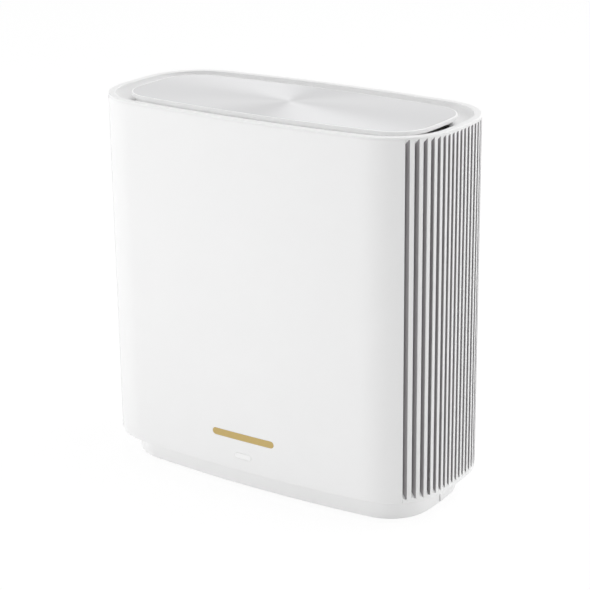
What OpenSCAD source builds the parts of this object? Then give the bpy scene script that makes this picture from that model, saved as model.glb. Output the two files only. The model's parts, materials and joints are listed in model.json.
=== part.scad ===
// Table-top wireless router: an upright housing on a set-back plinth, with ribbed
// ends for cooling air, a dished top under a floating lid and its sockets in a
// recess at the rear.  X runs along the front, -Y is the front, +Z is up, and the
// origin is under the middle of the feet.  Millimetres.

/* [Housing] */
// Width of the housing, end to end
body_w = 160; // [154:1:172]
// Depth of the housing, front to back
body_d = 75; // [73:1:82]
// Height from the table to the top of the rim
body_h = 161.5; // [158:0.5:180]
// Radius of the four upright corners
corner_r = 26.5; // [25:0.5:28]
// Crown of the front and rear faces above their chord
face_bulge = 5.4; // [4.8:0.1:6.2]
// Crown of the narrow ends above their chord
end_bulge = 4.5; // [4:0.1:5.2]
// Thickness of the moulded walls
wall = 2.4; // [2:0.1:2.8]
// Hairline between neighbouring shells
seam = 0.15; // [0.1:0.05:0.2]
// Inward lip under each shell
lip_t = 1.8; // [1.6:0.1:2.2]

/* [Base] */
// Height of the rubber feet below the plinth
foot_h = 1.4; // [1:0.1:2]
// Radius of a foot
foot_r = 5.5; // [5:0.5:7]
// Height of the plinth
base_h = 10.6; // [10.4:0.1:12]
// How far the plinth stands back from the housing
base_inset = 7.8; // [7:0.1:9]
// Thickness of the plinth's skirt
skirt_t = 2.2; // [2:0.1:2.6]
// Thickness of the plinth's floor
floor_t = 2.4; // [2:0.1:2.6]
// Number of intake slots on each side of the floor
intake_count = 9; // [5:1:11]

/* [Ribbed ends] */
// Number of upright slots in each end
slot_count = 20; // [16:1:20]
// Distance from one slot to the next
slot_pitch = 2.9; // [2.8:0.05:2.9]
// Width of one slot
slot_w = 1.7; // [1.5:0.1:1.9]
// Solid band below the slots
slot_low_band = 2; // [2:0.1:4]
// Solid band above the slots, up to the seam under the rim
slot_top_band = 0.3; // [0.3:0.1:1.5]
// Rise of the sloping slot ends per millimetre of depth
slot_ramp = 1.15; // [1:0.05:1.3]

/* [Top] */
// Height of the rim above the seam
cap_h = 1.4; // [1.2:0.1:2]
// Radius on the rim's outer edge
rim_fillet = 0.5; // [0.3:0.1:1.1]
// Width of the rim's flat top with its outer edge
rim_w = 3; // [2.8:0.1:3.4]
// Distance from the outline to the inner edge of the dish
dish_inset = 12.4; // [12:0.1:13.5]
// Depth of the dish at its inner edge
dish_drop = 4.8; // [4.4:0.1:5.4]
// Distance from the outline to the edge of the lid
lid_inset = 10.6; // [10.3:0.1:11.4]
// Thickness of the lid
lid_t = 1.9; // [1.8:0.1:3]
// How far the lid's top lies below the rim
lid_drop = 0.1; // [0:0.1:0.6]

/* [Sockets] */
// Depth of the socket recess at the middle of the rear face
recess_d = 7.5; // [7:0.5:8]
// Height of the sockets' centre above the table
socket_z = 34; // [33:0.5:38]
// Height of the socket recess
recess_h = 27; // [25:1:29]
// Half width of the socket recess
recess_half_w = 57.5; // [57:0.5:58]
// Length of the sockets from the board to the recess
socket_len = 14.4; // [14:0.1:15]
// Clearance round each socket in the panel
socket_gap = 0.25; // [0.2:0.05:0.3]

/* [Buttons] */
// Radius of the power button
power_r = 4.6; // [4.2:0.1:4.8]
// Travel of the power button
power_travel = 1.8; // [1.5:0.1:2]
// Radius of the pairing button
pair_r = 3.2; // [3:0.1:3.6]
// Travel of the pairing button
pair_travel = 0.8; // [0.6:0.1:0.9]
// Radius of the reset pin's tip
reset_r = 0.9; // [0.8:0.05:1]
// Travel of the reset pin
reset_travel = 0.5; // [0.4:0.05:0.6]
// Gap round a button in its opening
button_gap = 0.3; // [0.25:0.05:0.35]
// Radial clearance of a plunger in its switch
plunger_gap = 0.08; // [0.05:0.01:0.1]

/* [Electronics] */
// Width of the main board
board_w = 122; // [118:1:124]
// Room between the main board's top edge and the lid carrier
board_headroom = 7.6; // [7:0.2:12]
// Thickness of the main board
board_t = 1.6; // [1.2:0.1:1.8]
// Width of the front heat sink
sink_w = 97; // [85:1:100]
// Height of the front heat sink
sink_h = 82; // [76:1:84]
// Distance from the board's top edge down to the heat sink
sink_top_gap = 9; // [8:0.5:11]
// Length of the fins
fin_len = 16; // [12:0.5:18]
// Number of fins
fin_count = 17; // [13:1:19]
// Thickness of a fin
fin_t = 1.4; // [1.2:0.1:1.8]

/* [Hidden] */
$fn = 40;

// Colours
shell_white = [0.93, 0.93, 0.93];
ring_white = [0.89, 0.89, 0.89];
lid_silver = [0.85, 0.85, 0.86];
frame_grey = [0.22, 0.22, 0.23];
rubber_grey = [0.35, 0.35, 0.36];
gold = [0.72, 0.62, 0.36];
board_green = [0.10, 0.35, 0.20];
chip_black = [0.12, 0.12, 0.13];
metal = [0.72, 0.73, 0.75];
panel_grey = [0.80, 0.80, 0.80];
socket_black = [0.10, 0.10, 0.11];
port_blue = [0.15, 0.35, 0.75];
pad_grey = [0.55, 0.60, 0.66];

// Levels above the table
base_z = foot_h;
shell_z = base_z + base_h;
shell_top = body_h - cap_h;
lip_top = shell_z + lip_t;
dish_z = body_h - dish_drop;
lid_top = body_h - lid_drop;
lid_under = lid_top - lid_t;
carrier_t = 2;
carrier_rise = 3.1;
carrier_z1 = dish_z - carrier_rise;
carrier_z0 = carrier_z1 - carrier_t;
recess_z0 = socket_z - recess_h / 2;
recess_z1 = socket_z + recess_h / 2;
board_foot_gap = 2.2;
board_z0 = lip_top + board_foot_gap;
board_z1 = carrier_z0 - board_headroom;

// Depths of the sockets' panel, the main board and the inner frame
panel_y = body_d / 2 - recess_d;
board_rear = panel_y - socket_len;
board_front = board_rear - board_t;
frame_gap = 2;
frame_inset = wall + frame_gap;
frame_t = 2;
bar_d = 6;
bar_h = 8;

// Plan outline: long shallow arcs on the faces, shorter ones on the ends and a
// tangent corner arc between them.  Inward offsets keep the same centres.
face_r = pow(body_w / 2, 2) / (2 * face_bulge) + face_bulge / 2;
end_r = pow(body_d / 2, 2) / (2 * end_bulge) + end_bulge / 2;
face_c = [0, body_d / 2 - face_r];
end_c = [body_w / 2 - end_r, 0];
face_reach = face_r - corner_r;
end_reach = end_r - corner_r;
centre_gap = norm(end_c - face_c);
along = (pow(face_reach, 2) - pow(end_reach, 2) + pow(centre_gap, 2)) / (2 * centre_gap);
across = sqrt(pow(face_reach, 2) - pow(along, 2));
axis_dir = (end_c - face_c) / centre_gap;
corner_c = face_c + axis_dir * along + [axis_dir[1], -axis_dir[0]] * across;
corner_a0 = atan2(corner_c[1] - end_c[1], corner_c[0] - end_c[0]);
corner_a1 = atan2(corner_c[1] - face_c[1], corner_c[0] - face_c[0]);
end_steps = 3;
corner_steps = 9;
face_steps = 4;
quarter_steps = end_steps + corner_steps + face_steps;

function dir(a) = [cos(a), sin(a)];
function quarter(i, inset) =
    i < end_steps
        ? end_c + (end_r - inset) * dir(corner_a0 * i / end_steps)
    : i < end_steps + corner_steps
        ? corner_c + (corner_r - inset)
          * dir(corner_a0 + (corner_a1 - corner_a0) * (i - end_steps) / corner_steps)
    : face_c + (face_r - inset)
      * dir(corner_a1 + (90 - corner_a1) * (i - end_steps - corner_steps) / face_steps);
function flip(p, sx, sy) = [p[0] * sx, p[1] * sy];
function outline_points(inset) = concat(
    [for (i = [0 : quarter_steps - 1]) quarter(i, inset)],
    [for (i = [quarter_steps : -1 : 1]) flip(quarter(i, inset), -1, 1)],
    [for (i = [0 : quarter_steps - 1]) flip(quarter(i, inset), -1, -1)],
    [for (i = [quarter_steps : -1 : 1]) flip(quarter(i, inset), 1, -1)]
);
outline_count = 4 * quarter_steps;

// Half width of the housing at a distance y from its middle plane
end_tangent_y = end_r * sin(corner_a0);
function half_width_at(y) =
    abs(y) <= end_tangent_y
        ? end_c[0] + sqrt(pow(end_r, 2) - pow(y, 2))
        : corner_c[0] + sqrt(pow(corner_r, 2) - pow(abs(y) - corner_c[1], 2));

module outline(inset) { polygon(outline_points(inset)); }

// Slab of the outline between two levels
module slab(inset, z0, z1) {
    translate([0, 0, z0]) linear_extrude(z1 - z0) outline(inset);
}

// Wall between two insets and two levels
module band(inset0, inset1, z0, z1) {
    translate([0, 0, z0]) linear_extrude(z1 - z0) difference() {
        outline(inset0);
        outline(inset1);
    }
}

// Block given by its two corners
module block(low, high) {
    translate(low) cube([high[0] - low[0], high[1] - low[1], high[2] - low[2]]);
}

// Closed section of [inset, height] points carried round the outline
module outline_sweep(section) {
    count = len(section);
    rings = [for (p = section) outline_points(p[0])];
    points = [for (i = [0 : outline_count - 1]) for (j = [0 : count - 1])
        [rings[j][i][0], rings[j][i][1], section[j][1]]];
    faces = [for (i = [0 : outline_count - 1]) for (j = [0 : count - 1])
        let (i2 = (i + 1) % outline_count, j2 = (j + 1) % count)
        [i * count + j, i * count + j2, i2 * count + j2, i2 * count + j]];
    polyhedron(points, faces, convexity = 6);
}

// Solid through [inset, height] levels, listed from the lowest up
module outline_stack(levels) {
    count = len(levels);
    points = [for (l = levels) for (p = outline_points(l[0])) [p[0], p[1], l[1]]];
    sides = [for (k = [0 : count - 2]) for (i = [0 : outline_count - 1])
        let (i2 = (i + 1) % outline_count)
        [k * outline_count + i, (k + 1) * outline_count + i,
         (k + 1) * outline_count + i2, k * outline_count + i2]];
    bottom = [for (i = [0 : outline_count - 1]) i];
    top = [for (i = [outline_count - 1 : -1 : 0]) (count - 1) * outline_count + i];
    polyhedron(points, concat([bottom, top], sides), convexity = 4);
}

// Flat bar with round ends, along X, extruded along Y from y0 to y1
module round_bar(width, height, y0, y1) {
    bar_r = height / 2;
    translate([0, y1, 0]) rotate([90, 0, 0]) linear_extrude(y1 - y0) union() {
        square([width - height, height], center = true);
        for (s = [-1, 1]) translate([s * (width / 2 - bar_r), 0]) circle(bar_r);
    }
}

// Cylinder along Y
module y_rod(r, y0, y1) {
    translate([0, y0, 0]) rotate([-90, 0, 0]) cylinder(r = r, h = y1 - y0);
}

// Pan-head screw, head up, with its seat at the origin
screw_r = 1.4;
screw_head_r = 2.8;
screw_head_h = 1.8;
screw_fit = 0.1;
cross_w = 0.8;
module screw(shank) {
    color(metal) difference() {
        union() {
            translate([0, 0, -shank]) cylinder(r = screw_r, h = shank + screw_head_h / 2);
            cylinder(r = screw_head_r, h = screw_head_h);
        }
        for (a = [0, 90]) rotate(a) translate([0, 0, screw_head_h])
            cube([2 * screw_r + cross_w, cross_w, screw_head_h], center = true);
    }
}

// ---------------------------------------------------------------- shells

// The ribbed ends run from one corner to the other; their outermost slots are
// open at the side and close against the covers, which narrow them a little.
rib_w = slot_pitch - slot_w;
edge_slot_trim = 0.4;
grille_y = (slot_count * slot_pitch - rib_w) / 2 - edge_slot_trim;
cover_y = grille_y + seam;
slot_z0 = shell_z + slot_low_band;
slot_z1 = shell_top - slot_top_band;
lip_overlap = 1;
lip_inset = base_inset + skirt_t + lip_overlap;
lip_split_x = corner_c[0];
crossbar_t = 1.4;
crossbar_bite = 0.2;
crossbar_h = 2.6;
crossbar_count = 3;
far = 2 * body_w;

// Half space beyond y, towards the rear for side 1 and the front for side -1
module beyond(y, side) {
    if (side > 0) block([-far, y, -far], [far, far, far]);
    else block([-far, -far, -far], [far, -y, far]);
}

// Tabs inside a cover reach to the inner frame, centred on [x, z]
tab_w = 8;
tab_h = 4;
tab_x = 40;
tab_end = 5.5;
side_tab_x = 55;
side_tab_end = 45;
high_tab = [tab_x, carrier_z0 - tab_end];
front_tabs = [high_tab, [tab_x, lip_top + tab_end],
              [side_tab_x, lip_top + side_tab_end], [side_tab_x, carrier_z0 - side_tab_end]];
module cover_tabs(side, places) {
    intersection() {
        band(wall / 2, frame_inset - seam, 0, body_h);
        beyond(0, side);
        for (s = [-1, 1]) for (p = places)
            block([s * p[0] - tab_w / 2, -far, p[1] - tab_h / 2],
                  [s * p[0] + tab_w / 2, far, p[1] + tab_h / 2]);
    }
}

// Front (side -1) or rear (side 1) shell: its wall and its share of the bottom lip
module cover_wall(side) {
    intersection() {
        band(0, wall, shell_z, shell_top - seam);
        beyond(cover_y, side);
    }
    intersection() {
        band(wall / 2, lip_inset, shell_z, lip_top);
        union() {
            beyond(cover_y, side);
            intersection() {
                beyond(0, side);
                block([-lip_split_x, -far, 0], [lip_split_x, far, far]);
            }
        }
    }
}

badge_w = 30.7;
badge_h = 3;
badge_t = 0.6;
badge_z = shell_z + 15.3;
badge_fit = 0.05;
window_w = 8.2;
window_h = 2.4;
window_z = shell_z + 6.8;
window_fit = 0.1;

module front_cover() {
    color(shell_white) difference() {
        union() {
            cover_wall(-1);
            cover_tabs(-1, front_tabs);
        }
        intersection() {
            band(-1, badge_t, shell_z, shell_top);
            translate([0, 0, badge_z])
                round_bar(badge_w + 2 * badge_fit, badge_h + 2 * badge_fit, -body_d, 0);
        }
        translate([0, 0, window_z])
            round_bar(window_w + 2 * window_fit, window_h + 2 * window_fit, -body_d, 0);
    }
}

module front_badge() {
    color(gold) intersection() {
        band(0, badge_t - badge_fit, shell_z, shell_top);
        translate([0, 0, badge_z]) round_bar(badge_w, badge_h, -body_d, 0);
    }
}

// Socket recess in the rear cover
panel_t = 1.6;
panel_wall = 1.6;
module recess_block(grow, y0) {
    block([-recess_half_w - grow, y0, recess_z0 - grow],
          [recess_half_w + grow, body_d, recess_z1 + grow]);
}

module rear_cover() {
    color(shell_white) difference() {
        union() {
            cover_wall(1);
            cover_tabs(1, [high_tab]);
        }
        recess_block(0, 0);
    }
}

// One slot: a flat-bottomed cut along X whose two ends slope outwards
module slot_cut(y) {
    x_out = half_width_at(y);
    reach = 3 * wall;
    rise = reach * slot_ramp;
    translate([0, y + slot_w / 2, 0]) rotate([90, 0, 0]) linear_extrude(slot_w)
        polygon([
            [x_out + reach, slot_z0 - rise], [x_out - reach, slot_z0 + rise],
            [x_out - reach, slot_z1 - rise], [x_out + reach, slot_z1 + rise]
        ]);
}

module end_grille() {
    bar_step = (slot_z1 - slot_z0) / (crossbar_count + 1);
    difference() {
        intersection() {
            union() {
                band(0, wall, shell_z, shell_top - seam);
                band(wall / 2, lip_inset, shell_z, lip_top);
            }
            block([lip_split_x + seam, -grille_y, 0], [far, grille_y, far]);
        }
        for (i = [0 : slot_count - 1])
            slot_cut((i - (slot_count - 1) / 2) * slot_pitch);
    }
    for (k = [1 : crossbar_count]) intersection() {
        band(wall - crossbar_bite, wall + crossbar_t, slot_z0 + k * bar_step - crossbar_h / 2,
             slot_z0 + k * bar_step + crossbar_h / 2);
        block([0, -grille_y + slot_w, 0], [far, grille_y - slot_w, far]);
    }
}

module right_grille() { color(shell_white) end_grille(); }
module left_grille() { color(shell_white) mirror([1, 0, 0]) end_grille(); }

// Rim, dish and the skirt that stands on the lid carrier, as one moulding.  The dish
// is a quarter ellipse in section: steep under the rim and level at its inner edge.
rim_soft = 0.4;
skirt_w = 1.5;
ring_lip = 1.2;
fillet_steps = 3;
dish_steps = 6;
dish_t = 1.6;

module top_ring() {
    outer = [for (i = [0 : fillet_steps]) let (a = 90 * i / fillet_steps)
        [rim_fillet * (1 - cos(a)), body_h - rim_fillet * (1 - sin(a))]];
    inner = [for (i = [0 : fillet_steps - 1]) let (a = 90 * i / fillet_steps)
        [rim_w - rim_soft * (1 - sin(a)), body_h - rim_soft * (1 - cos(a))]];
    dish = [for (i = [0 : dish_steps]) let (a = 90 * i / dish_steps)
        [rim_w + (dish_inset - rim_w) * (1 - cos(a)),
         body_h - rim_soft - (dish_drop - rim_soft) * sin(a)]];
    lip_in = wall + seam;
    color(ring_white) outline_sweep(concat(
        [[0, shell_top]], outer, inner, dish,
        [[dish_inset, carrier_z1], [dish_inset - skirt_w, carrier_z1],
         [dish_inset - skirt_w, dish_z - dish_t], [rim_w + dish_t, dish_z - dish_t / 2],
         [lip_in, shell_top - ring_lip], [lip_in, shell_top]]));
}

// Plate under the lid, open at both ends for the rising air.  Two long walls on it
// close the gap under the lid along the front and the rear.
post_r = 3;
lid_post = [34, 13];
vent_count = 7;
vent_w = 3.4;
vent_x0 = 40;
vent_x1 = 60;
vent_step = 6;
carrier_fit = 0.2;
lid_wall_gap = 0.3;
lid_wall_t = 1.4;
lid_wall_inset = dish_inset + lid_wall_gap;
lid_wall_x = body_w / 2 - corner_r;
module lid_carrier() {
    color(ring_white) {
        intersection() {
            band(lid_wall_inset, lid_wall_inset + lid_wall_t, carrier_z1, lid_under);
            block([-lid_wall_x, -far, 0], [lid_wall_x, far, far]);
        }
        difference() {
            slab(frame_inset + carrier_fit, carrier_z0, carrier_z1);
            for (s = [-1, 1]) for (i = [0 : vent_count - 1])
                translate([s * (vent_x0 + vent_x1) / 2, (i - (vent_count - 1) / 2) * vent_step,
                           carrier_z0 + carrier_t / 2])
                    cube([vent_x1 - vent_x0, vent_w, 2 * carrier_t], center = true);
        }
        for (sx = [-1, 1]) for (sy = [-1, 1])
            translate([sx * lid_post[0], sy * lid_post[1], carrier_z0])
                cylinder(r = post_r, h = lid_under - carrier_z0);
    }
}

// The lid's edge is rounded below and eased above
lid_low_r = 0.6;
lid_top_r = 0.4;
lid_edge_steps = 3;
module lid() {
    low = [for (i = [0 : lid_edge_steps]) let (a = 90 * i / lid_edge_steps)
        [lid_inset + lid_low_r * (1 - sin(a)), lid_under + lid_low_r * (1 - cos(a))]];
    top = [for (i = [0 : lid_edge_steps]) let (a = 90 * i / lid_edge_steps)
        [lid_inset + lid_top_r * (1 - cos(a)), lid_top - lid_top_r * (1 - sin(a))]];
    color(lid_silver) outline_stack(concat(low, top));
}

// ---------------------------------------------------------------- base

floor_top = base_z + floor_t;
base_post = [58, board_front - bar_d / 2];
base_post_r = 3.8;
foot_place = [50, 17];
foot_sink = 0.6;
notch_top_w = 0.5;
notch_w = 1.8;
notch_h = 4.6;
notch_depth = 1.5;
board_post_x = 21;
board_post_r = 2.6;
pair_x = 12;
reset_x = -12;
small_board_z = base_z + 8.2;
counterbore_h = 2.2;
intake_step = 5;
intake_w = 2.4;
intake_len = 12;
intake_y = 16;

module at_corners(place) {
    for (sx = [-1, 1]) for (sy = [-1, 1]) translate([sx * place[0], sy * place[1], 0])
        children();
}

module base_cover() {
    color(shell_white) difference() {
        union() {
            slab(base_inset, base_z, floor_top);
            band(base_inset, base_inset + skirt_t, base_z, shell_z);
            at_corners(base_post) translate([0, 0, base_z]) cylinder(r = base_post_r, h = lip_top - base_z);
            for (s = [-1, 1]) translate([s * board_post_x, 0, base_z])
                cylinder(r = board_post_r, h = small_board_z - base_z);
        }
        at_corners(base_post) {
            cylinder(r = screw_r + screw_fit, h = far);
            cylinder(r = screw_head_r + 2 * screw_fit, h = base_z + counterbore_h);
        }
        at_corners(foot_place) cylinder(r = foot_r + screw_fit, h = base_z + foot_sink);
        for (s = [-1, 1]) translate([s * board_post_x, 0, floor_top])
            cylinder(r = screw_r + screw_fit, h = far);
        translate([pair_x, 0, 0]) cylinder(r = pair_r + button_gap, h = shell_z);
        translate([reset_x, 0, 0]) cylinder(r = reset_r + button_gap, h = shell_z);
        // Pry notches at the middle of both ends
        for (s = [-1, 1]) translate([s * (body_w / 2 - base_inset), 0, 0]) rotate([90, 0, 90])
            translate([0, 0, -notch_depth]) linear_extrude(2 * notch_depth)
                polygon([[-notch_w / 2, 0], [notch_w / 2, 0], [notch_w / 2, base_z],
                         [notch_top_w / 2, base_z + notch_h], [-notch_top_w / 2, base_z + notch_h],
                         [-notch_w / 2, base_z]]);
        // Intake slots in the floor
        for (s = [-1, 1]) for (i = [0 : intake_count - 1])
            translate([(i - (intake_count - 1) / 2) * intake_step, s * intake_y, 0])
                block([-intake_w / 2, -intake_len / 2, 0], [intake_w / 2, intake_len / 2, shell_z]);
    }
}

module rubber_feet() {
    color(rubber_grey) at_corners(foot_place) cylinder(r = foot_r, h = base_z + foot_sink);
}

module base_screws() {
    shank = lip_top - base_z - counterbore_h + base_bite;
    at_corners(base_post) translate([0, 0, base_z + counterbore_h]) rotate([180, 0, 0])
        screw(shank);
}

// ---------------------------------------------------------------- frame and board

frame_z1 = carrier_z0;
window_margin = 10;
window_half_x = 50;
socket_window_y = 5;
frame_rim = 1;
upright_edge = 6;
pipe_flange = 0.8;
led_gap = 0.3;
led_t = 0.8;
led_board_gap = 0.3;
// The light's board lies just inside the frame's front, its guide just before the lamps
led_board_y0 = -body_d / 2 + frame_inset + frame_t + led_board_gap;
pipe_y1 = led_board_y0 - led_t - led_gap;
rear_window_half_x = recess_half_w + panel_wall + 2;
end_window_y = 20;
upright_half = 4;
board_hole_x = 55;
board_hole_edge = 3;
board_hole_z = [board_z0 + board_hole_edge, board_z1 - board_hole_edge];
tapped_fit = 0.05;
board_bite = 4.5;
base_bite = 6;
tap_spare = 1;

module inner_frame() {
    z_low = lip_top + window_margin;
    z_high = frame_z1 - window_margin;
    color(frame_grey) difference() {
        union() {
            band(frame_inset, frame_inset + frame_t, lip_top, frame_z1);
            intersection() {
                slab(frame_inset + frame_t / 2, lip_top, frame_z1);
                union() {
                    for (y0 = [board_front - bar_d, -board_front])
                        block([-far, y0, lip_top], [far, y0 + bar_d, lip_top + bar_h]);
                    block([-far, board_front - bar_d, board_z1 - bar_h + frame_rim],
                          [far, board_front, board_z1 + frame_rim]);
                }
            }
        }
        block([-window_half_x, -far, z_low], [window_half_x, -body_d / 4, z_high]);
        translate([0, 0, window_z])
            round_bar(window_w + 4 * pipe_flange, window_h + 4 * pipe_flange, -body_d, -body_d / 4);
        block([-rear_window_half_x, board_rear + socket_window_y, lip_top + frame_rim],
              [rear_window_half_x, far, z_high]);
        for (s = [-1, 1]) translate([0, s * (upright_half + end_window_y) / 2, 0])
            block([-far, -(end_window_y - upright_half) / 2, z_low],
                  [far, (end_window_y - upright_half) / 2, board_z1 - bar_h - upright_edge]);
        for (x = [-board_hole_x, 0, board_hole_x]) for (z = board_hole_z)
            translate([x, 0, z])
                y_rod(screw_r + tapped_fit, board_front - board_bite - tap_spare, board_front + tap_spare);
        at_corners(base_post) translate([0, 0, lip_top - tap_spare])
            cylinder(r = screw_r + tapped_fit, h = base_bite + 2 * tap_spare);
    }
}

sink_screw_edge = 4.5;
sink_screw_x = sink_w / 2 - sink_screw_edge;
sink_z = board_z1 - sink_top_gap - sink_h / 2;
sink_gap = 3;
sink_base_t = 3;
sink_bite = 1.5;
sink_y1 = board_front - sink_gap;
sink_y0 = sink_y1 - sink_base_t;
boss_r = 3.4;

// The spreader fills the board's rear above the sockets, inside the heat sink's edge,
// and the four screws at its corners hold both against the board
spreader_low_gap = 8.5;
spreader_edge = 3;
spreader_z0 = max(recess_z1 + spreader_low_gap, sink_z - sink_h / 2 + spreader_edge);
spreader_z1 = sink_z + sink_h / 2 - spreader_edge;
spreader_side = 2.5;
spreader_w = sink_w - 2 * spreader_side;

module at_sink_screws() {
    for (sx = [-1, 1]) for (z = [spreader_z0 + sink_screw_edge, spreader_z1 - sink_screw_edge])
        translate([sx * sink_screw_x, 0, z]) children();
}

module main_board() {
    color(board_green) difference() {
        block([-board_w / 2, board_front, board_z0], [board_w / 2, board_rear, board_z1]);
        for (x = [-board_hole_x, 0, board_hole_x]) for (z = board_hole_z)
            translate([x, 0, z]) y_rod(screw_r + screw_fit, board_front - tap_spare, board_rear + tap_spare);
        at_sink_screws() y_rod(screw_r + screw_fit, board_front - tap_spare, board_rear + tap_spare);
    }
}

module board_screws() {
    for (x = [-board_hole_x, 0, board_hole_x]) for (z = board_hole_z)
        translate([x, board_rear, z]) rotate([-90, 0, 0]) screw(board_t + board_bite);
}

module front_heat_sink() {
    fin_step = (sink_w - fin_t) / (fin_count - 1);
    color(metal) difference() {
        union() {
            block([-sink_w / 2, sink_y0, sink_z - sink_h / 2], [sink_w / 2, sink_y1, sink_z + sink_h / 2]);
            for (i = [0 : fin_count - 1]) translate([(i - (fin_count - 1) / 2) * fin_step, 0, 0])
                block([-fin_t / 2, sink_y0 - fin_len, sink_z - sink_h / 2],
                      [fin_t / 2, sink_y1 - sink_base_t / 2, sink_z + sink_h / 2]);
            at_sink_screws() y_rod(boss_r, sink_y1 - sink_base_t / 2, board_front);
        }
        at_sink_screws()
            y_rod(screw_r + tapped_fit, sink_y1 - sink_bite - tap_spare / 2, board_front + tap_spare);
    }
}

spreader_gap = 2.4;
spreader_t = 2;
rib_len = 3.5;
rib_t = 1.6;
rib_pitch = 10;
rib_count = 7;
rib_inset = 8;
spreader_y0 = board_rear + spreader_gap;
spreader_y1 = spreader_y0 + spreader_t;

module rear_heat_spreader() {
    color(metal) difference() {
        union() {
            block([-spreader_w / 2, spreader_y0, spreader_z0],
                  [spreader_w / 2, spreader_y1, spreader_z1]);
            for (i = [0 : rib_count - 1]) translate([(i - (rib_count - 1) / 2) * rib_pitch, 0, 0])
                block([-rib_t / 2, spreader_y0 + spreader_t / 2, spreader_z0 + rib_inset],
                      [rib_t / 2, spreader_y1 + rib_len, spreader_z1 - rib_inset]);
            at_sink_screws() y_rod(boss_r, board_rear, spreader_y0 + spreader_t / 2);
        }
        at_sink_screws() y_rod(screw_r + screw_fit, board_rear - tap_spare, spreader_y1 + tap_spare);
    }
}

module heat_sink_screws() {
    at_sink_screws() translate([0, spreader_y1, 0]) rotate([-90, 0, 0])
        screw(spreader_y1 - board_front + sink_gap + sink_bite);
}

// Chips on the front of the board, placed by [x, z] from the heat sink's middle
cpu_w = 18;
cpu_t = 2;
cpu_place = [2, 6];
radio_places = [[-26, 18], [-26, -18], [26, -20]];
can_w = 26;
can_h = 24;
can_d = 2.4;
can_t = 0.3;
radio_w = 12;
radio_t = 1;
memory_places = [[22, 8], [22, 24]];
memory_w = 9;
memory_h = 13;
memory_t = 1.2;
pad_margin = 3;

// Slab of given size standing on the board's front, from depth d0 to d1 in front of it
module on_board(place, w, h, d0, d1) {
    translate([place[0], board_front, sink_z + place[1]])
        block([-w / 2, -d1, -h / 2], [w / 2, -d0, h / 2]);
}

module processor() { color(chip_black) on_board(cpu_place, cpu_w, cpu_w, 0, cpu_t); }
module memory_chips() {
    color(chip_black) for (p = memory_places) on_board(p, memory_w, memory_h, 0, memory_t);
}
module radio_chips() {
    color(chip_black) for (p = radio_places) on_board(p, radio_w, radio_w, 0, radio_t);
}
module shield_cans() {
    color(metal) for (p = radio_places) difference() {
        on_board(p, can_w, can_h, 0, can_d);
        on_board(p, can_w - 2 * can_t, can_h - 2 * can_t, -1, can_d - can_t);
    }
}
module thermal_pads() {
    color(pad_grey) {
        on_board(cpu_place, cpu_w, cpu_w, cpu_t, sink_gap);
        for (p = radio_places) {
            on_board(p, radio_w, radio_w, radio_t, can_d - can_t);
            on_board(p, radio_w + 2 * pad_margin, radio_w + 2 * pad_margin, can_d, sink_gap);
        }
    }
}

// ---------------------------------------------------------------- sockets

// Places of the sockets along the panel, from the power side to the far side
power_x = 49.5;
jack_x = 36;
wan_x = 21;
lan_x = [3, -14, -31];
usb_x = -49;
rj_w = 16;
rj_h = 13.6;
rj_wall = 1.8;
rj_mouth_w = 11.9;
rj_mouth_h = 6.9;
rj_depth = 12.2;
latch_w = 6.2;
latch_h = 2.4;
mouth_rise = 0.9;
mouth_z = socket_z + mouth_rise;
contact_count = 8;
contact_pitch = 1.02;
contact_w = 0.45;
contact_t = 0.35;
contact_y = 2.5;
usb_w = 13.2;
usb_h = 6.4;
usb_t = 0.4;
jack_w = 9.4;
jack_h = 10.8;
jack_bore_r = 3;
jack_depth = 9.5;
jack_wall = 1;
jack_back = 0.2;
jack_neck = 4;
pin_r = 1;
pin_sink = 1;
usb_proud = 0.4;
usb_block = 4.5;
tongue_t = 1.8;
tongue_side = 1.2;
tongue_rise = 0.2;
tongue_sink = 0.8;

module socket_panel() {
    color(panel_grey) difference() {
        intersection() {
            recess_block(panel_wall, panel_y - panel_t);
            slab(wall, 0, body_h);
        }
        recess_block(0, panel_y);
        block([wan_x - rj_w / 2 - socket_gap, 0, socket_z - rj_h / 2 - socket_gap],
              [wan_x + rj_w / 2 + socket_gap, far, socket_z + rj_h / 2 + socket_gap]);
        block([lan_x[2] - rj_w / 2 - socket_gap, 0, socket_z - rj_h / 2 - socket_gap],
              [lan_x[0] + rj_w / 2 + socket_gap, far, socket_z + rj_h / 2 + socket_gap]);
        block([usb_x - usb_w / 2 - socket_gap, 0, socket_z - usb_h / 2 - socket_gap],
              [usb_x + usb_w / 2 + socket_gap, far, socket_z + usb_h / 2 + socket_gap]);
        translate([jack_x, 0, socket_z]) y_rod(jack_bore_r + jack_wall, 0, body_d);
        translate([power_x, 0, socket_z]) y_rod(power_r + button_gap, 0, body_d);
    }
}

// Mouth of an eight-way socket with its latch channel, seen from the rear
module rj_cavity(x) {
    y0 = panel_y - rj_depth;
    block([x - rj_mouth_w / 2, y0, mouth_z - rj_mouth_h / 2],
          [x + rj_mouth_w / 2, far, mouth_z + rj_mouth_h / 2]);
    block([x - latch_w / 2, y0, mouth_z - rj_mouth_h / 2 - latch_h],
          [x + latch_w / 2, far, mouth_z]);
}

module rj_contacts(x) {
    for (i = [0 : contact_count - 1])
        translate([x + (i - (contact_count - 1) / 2) * contact_pitch, 0, mouth_z + rj_mouth_h / 2])
            block([-contact_w / 2, panel_y - rj_depth, -contact_t],
                  [contact_w / 2, panel_y - contact_y, 0]);
}

module wan_socket() {
    color(port_blue) difference() {
        block([wan_x - rj_w / 2, board_rear, socket_z - rj_h / 2],
              [wan_x + rj_w / 2, panel_y, socket_z + rj_h / 2]);
        rj_cavity(wan_x);
    }
}
module wan_contacts() { color(gold) rj_contacts(wan_x); }

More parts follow.
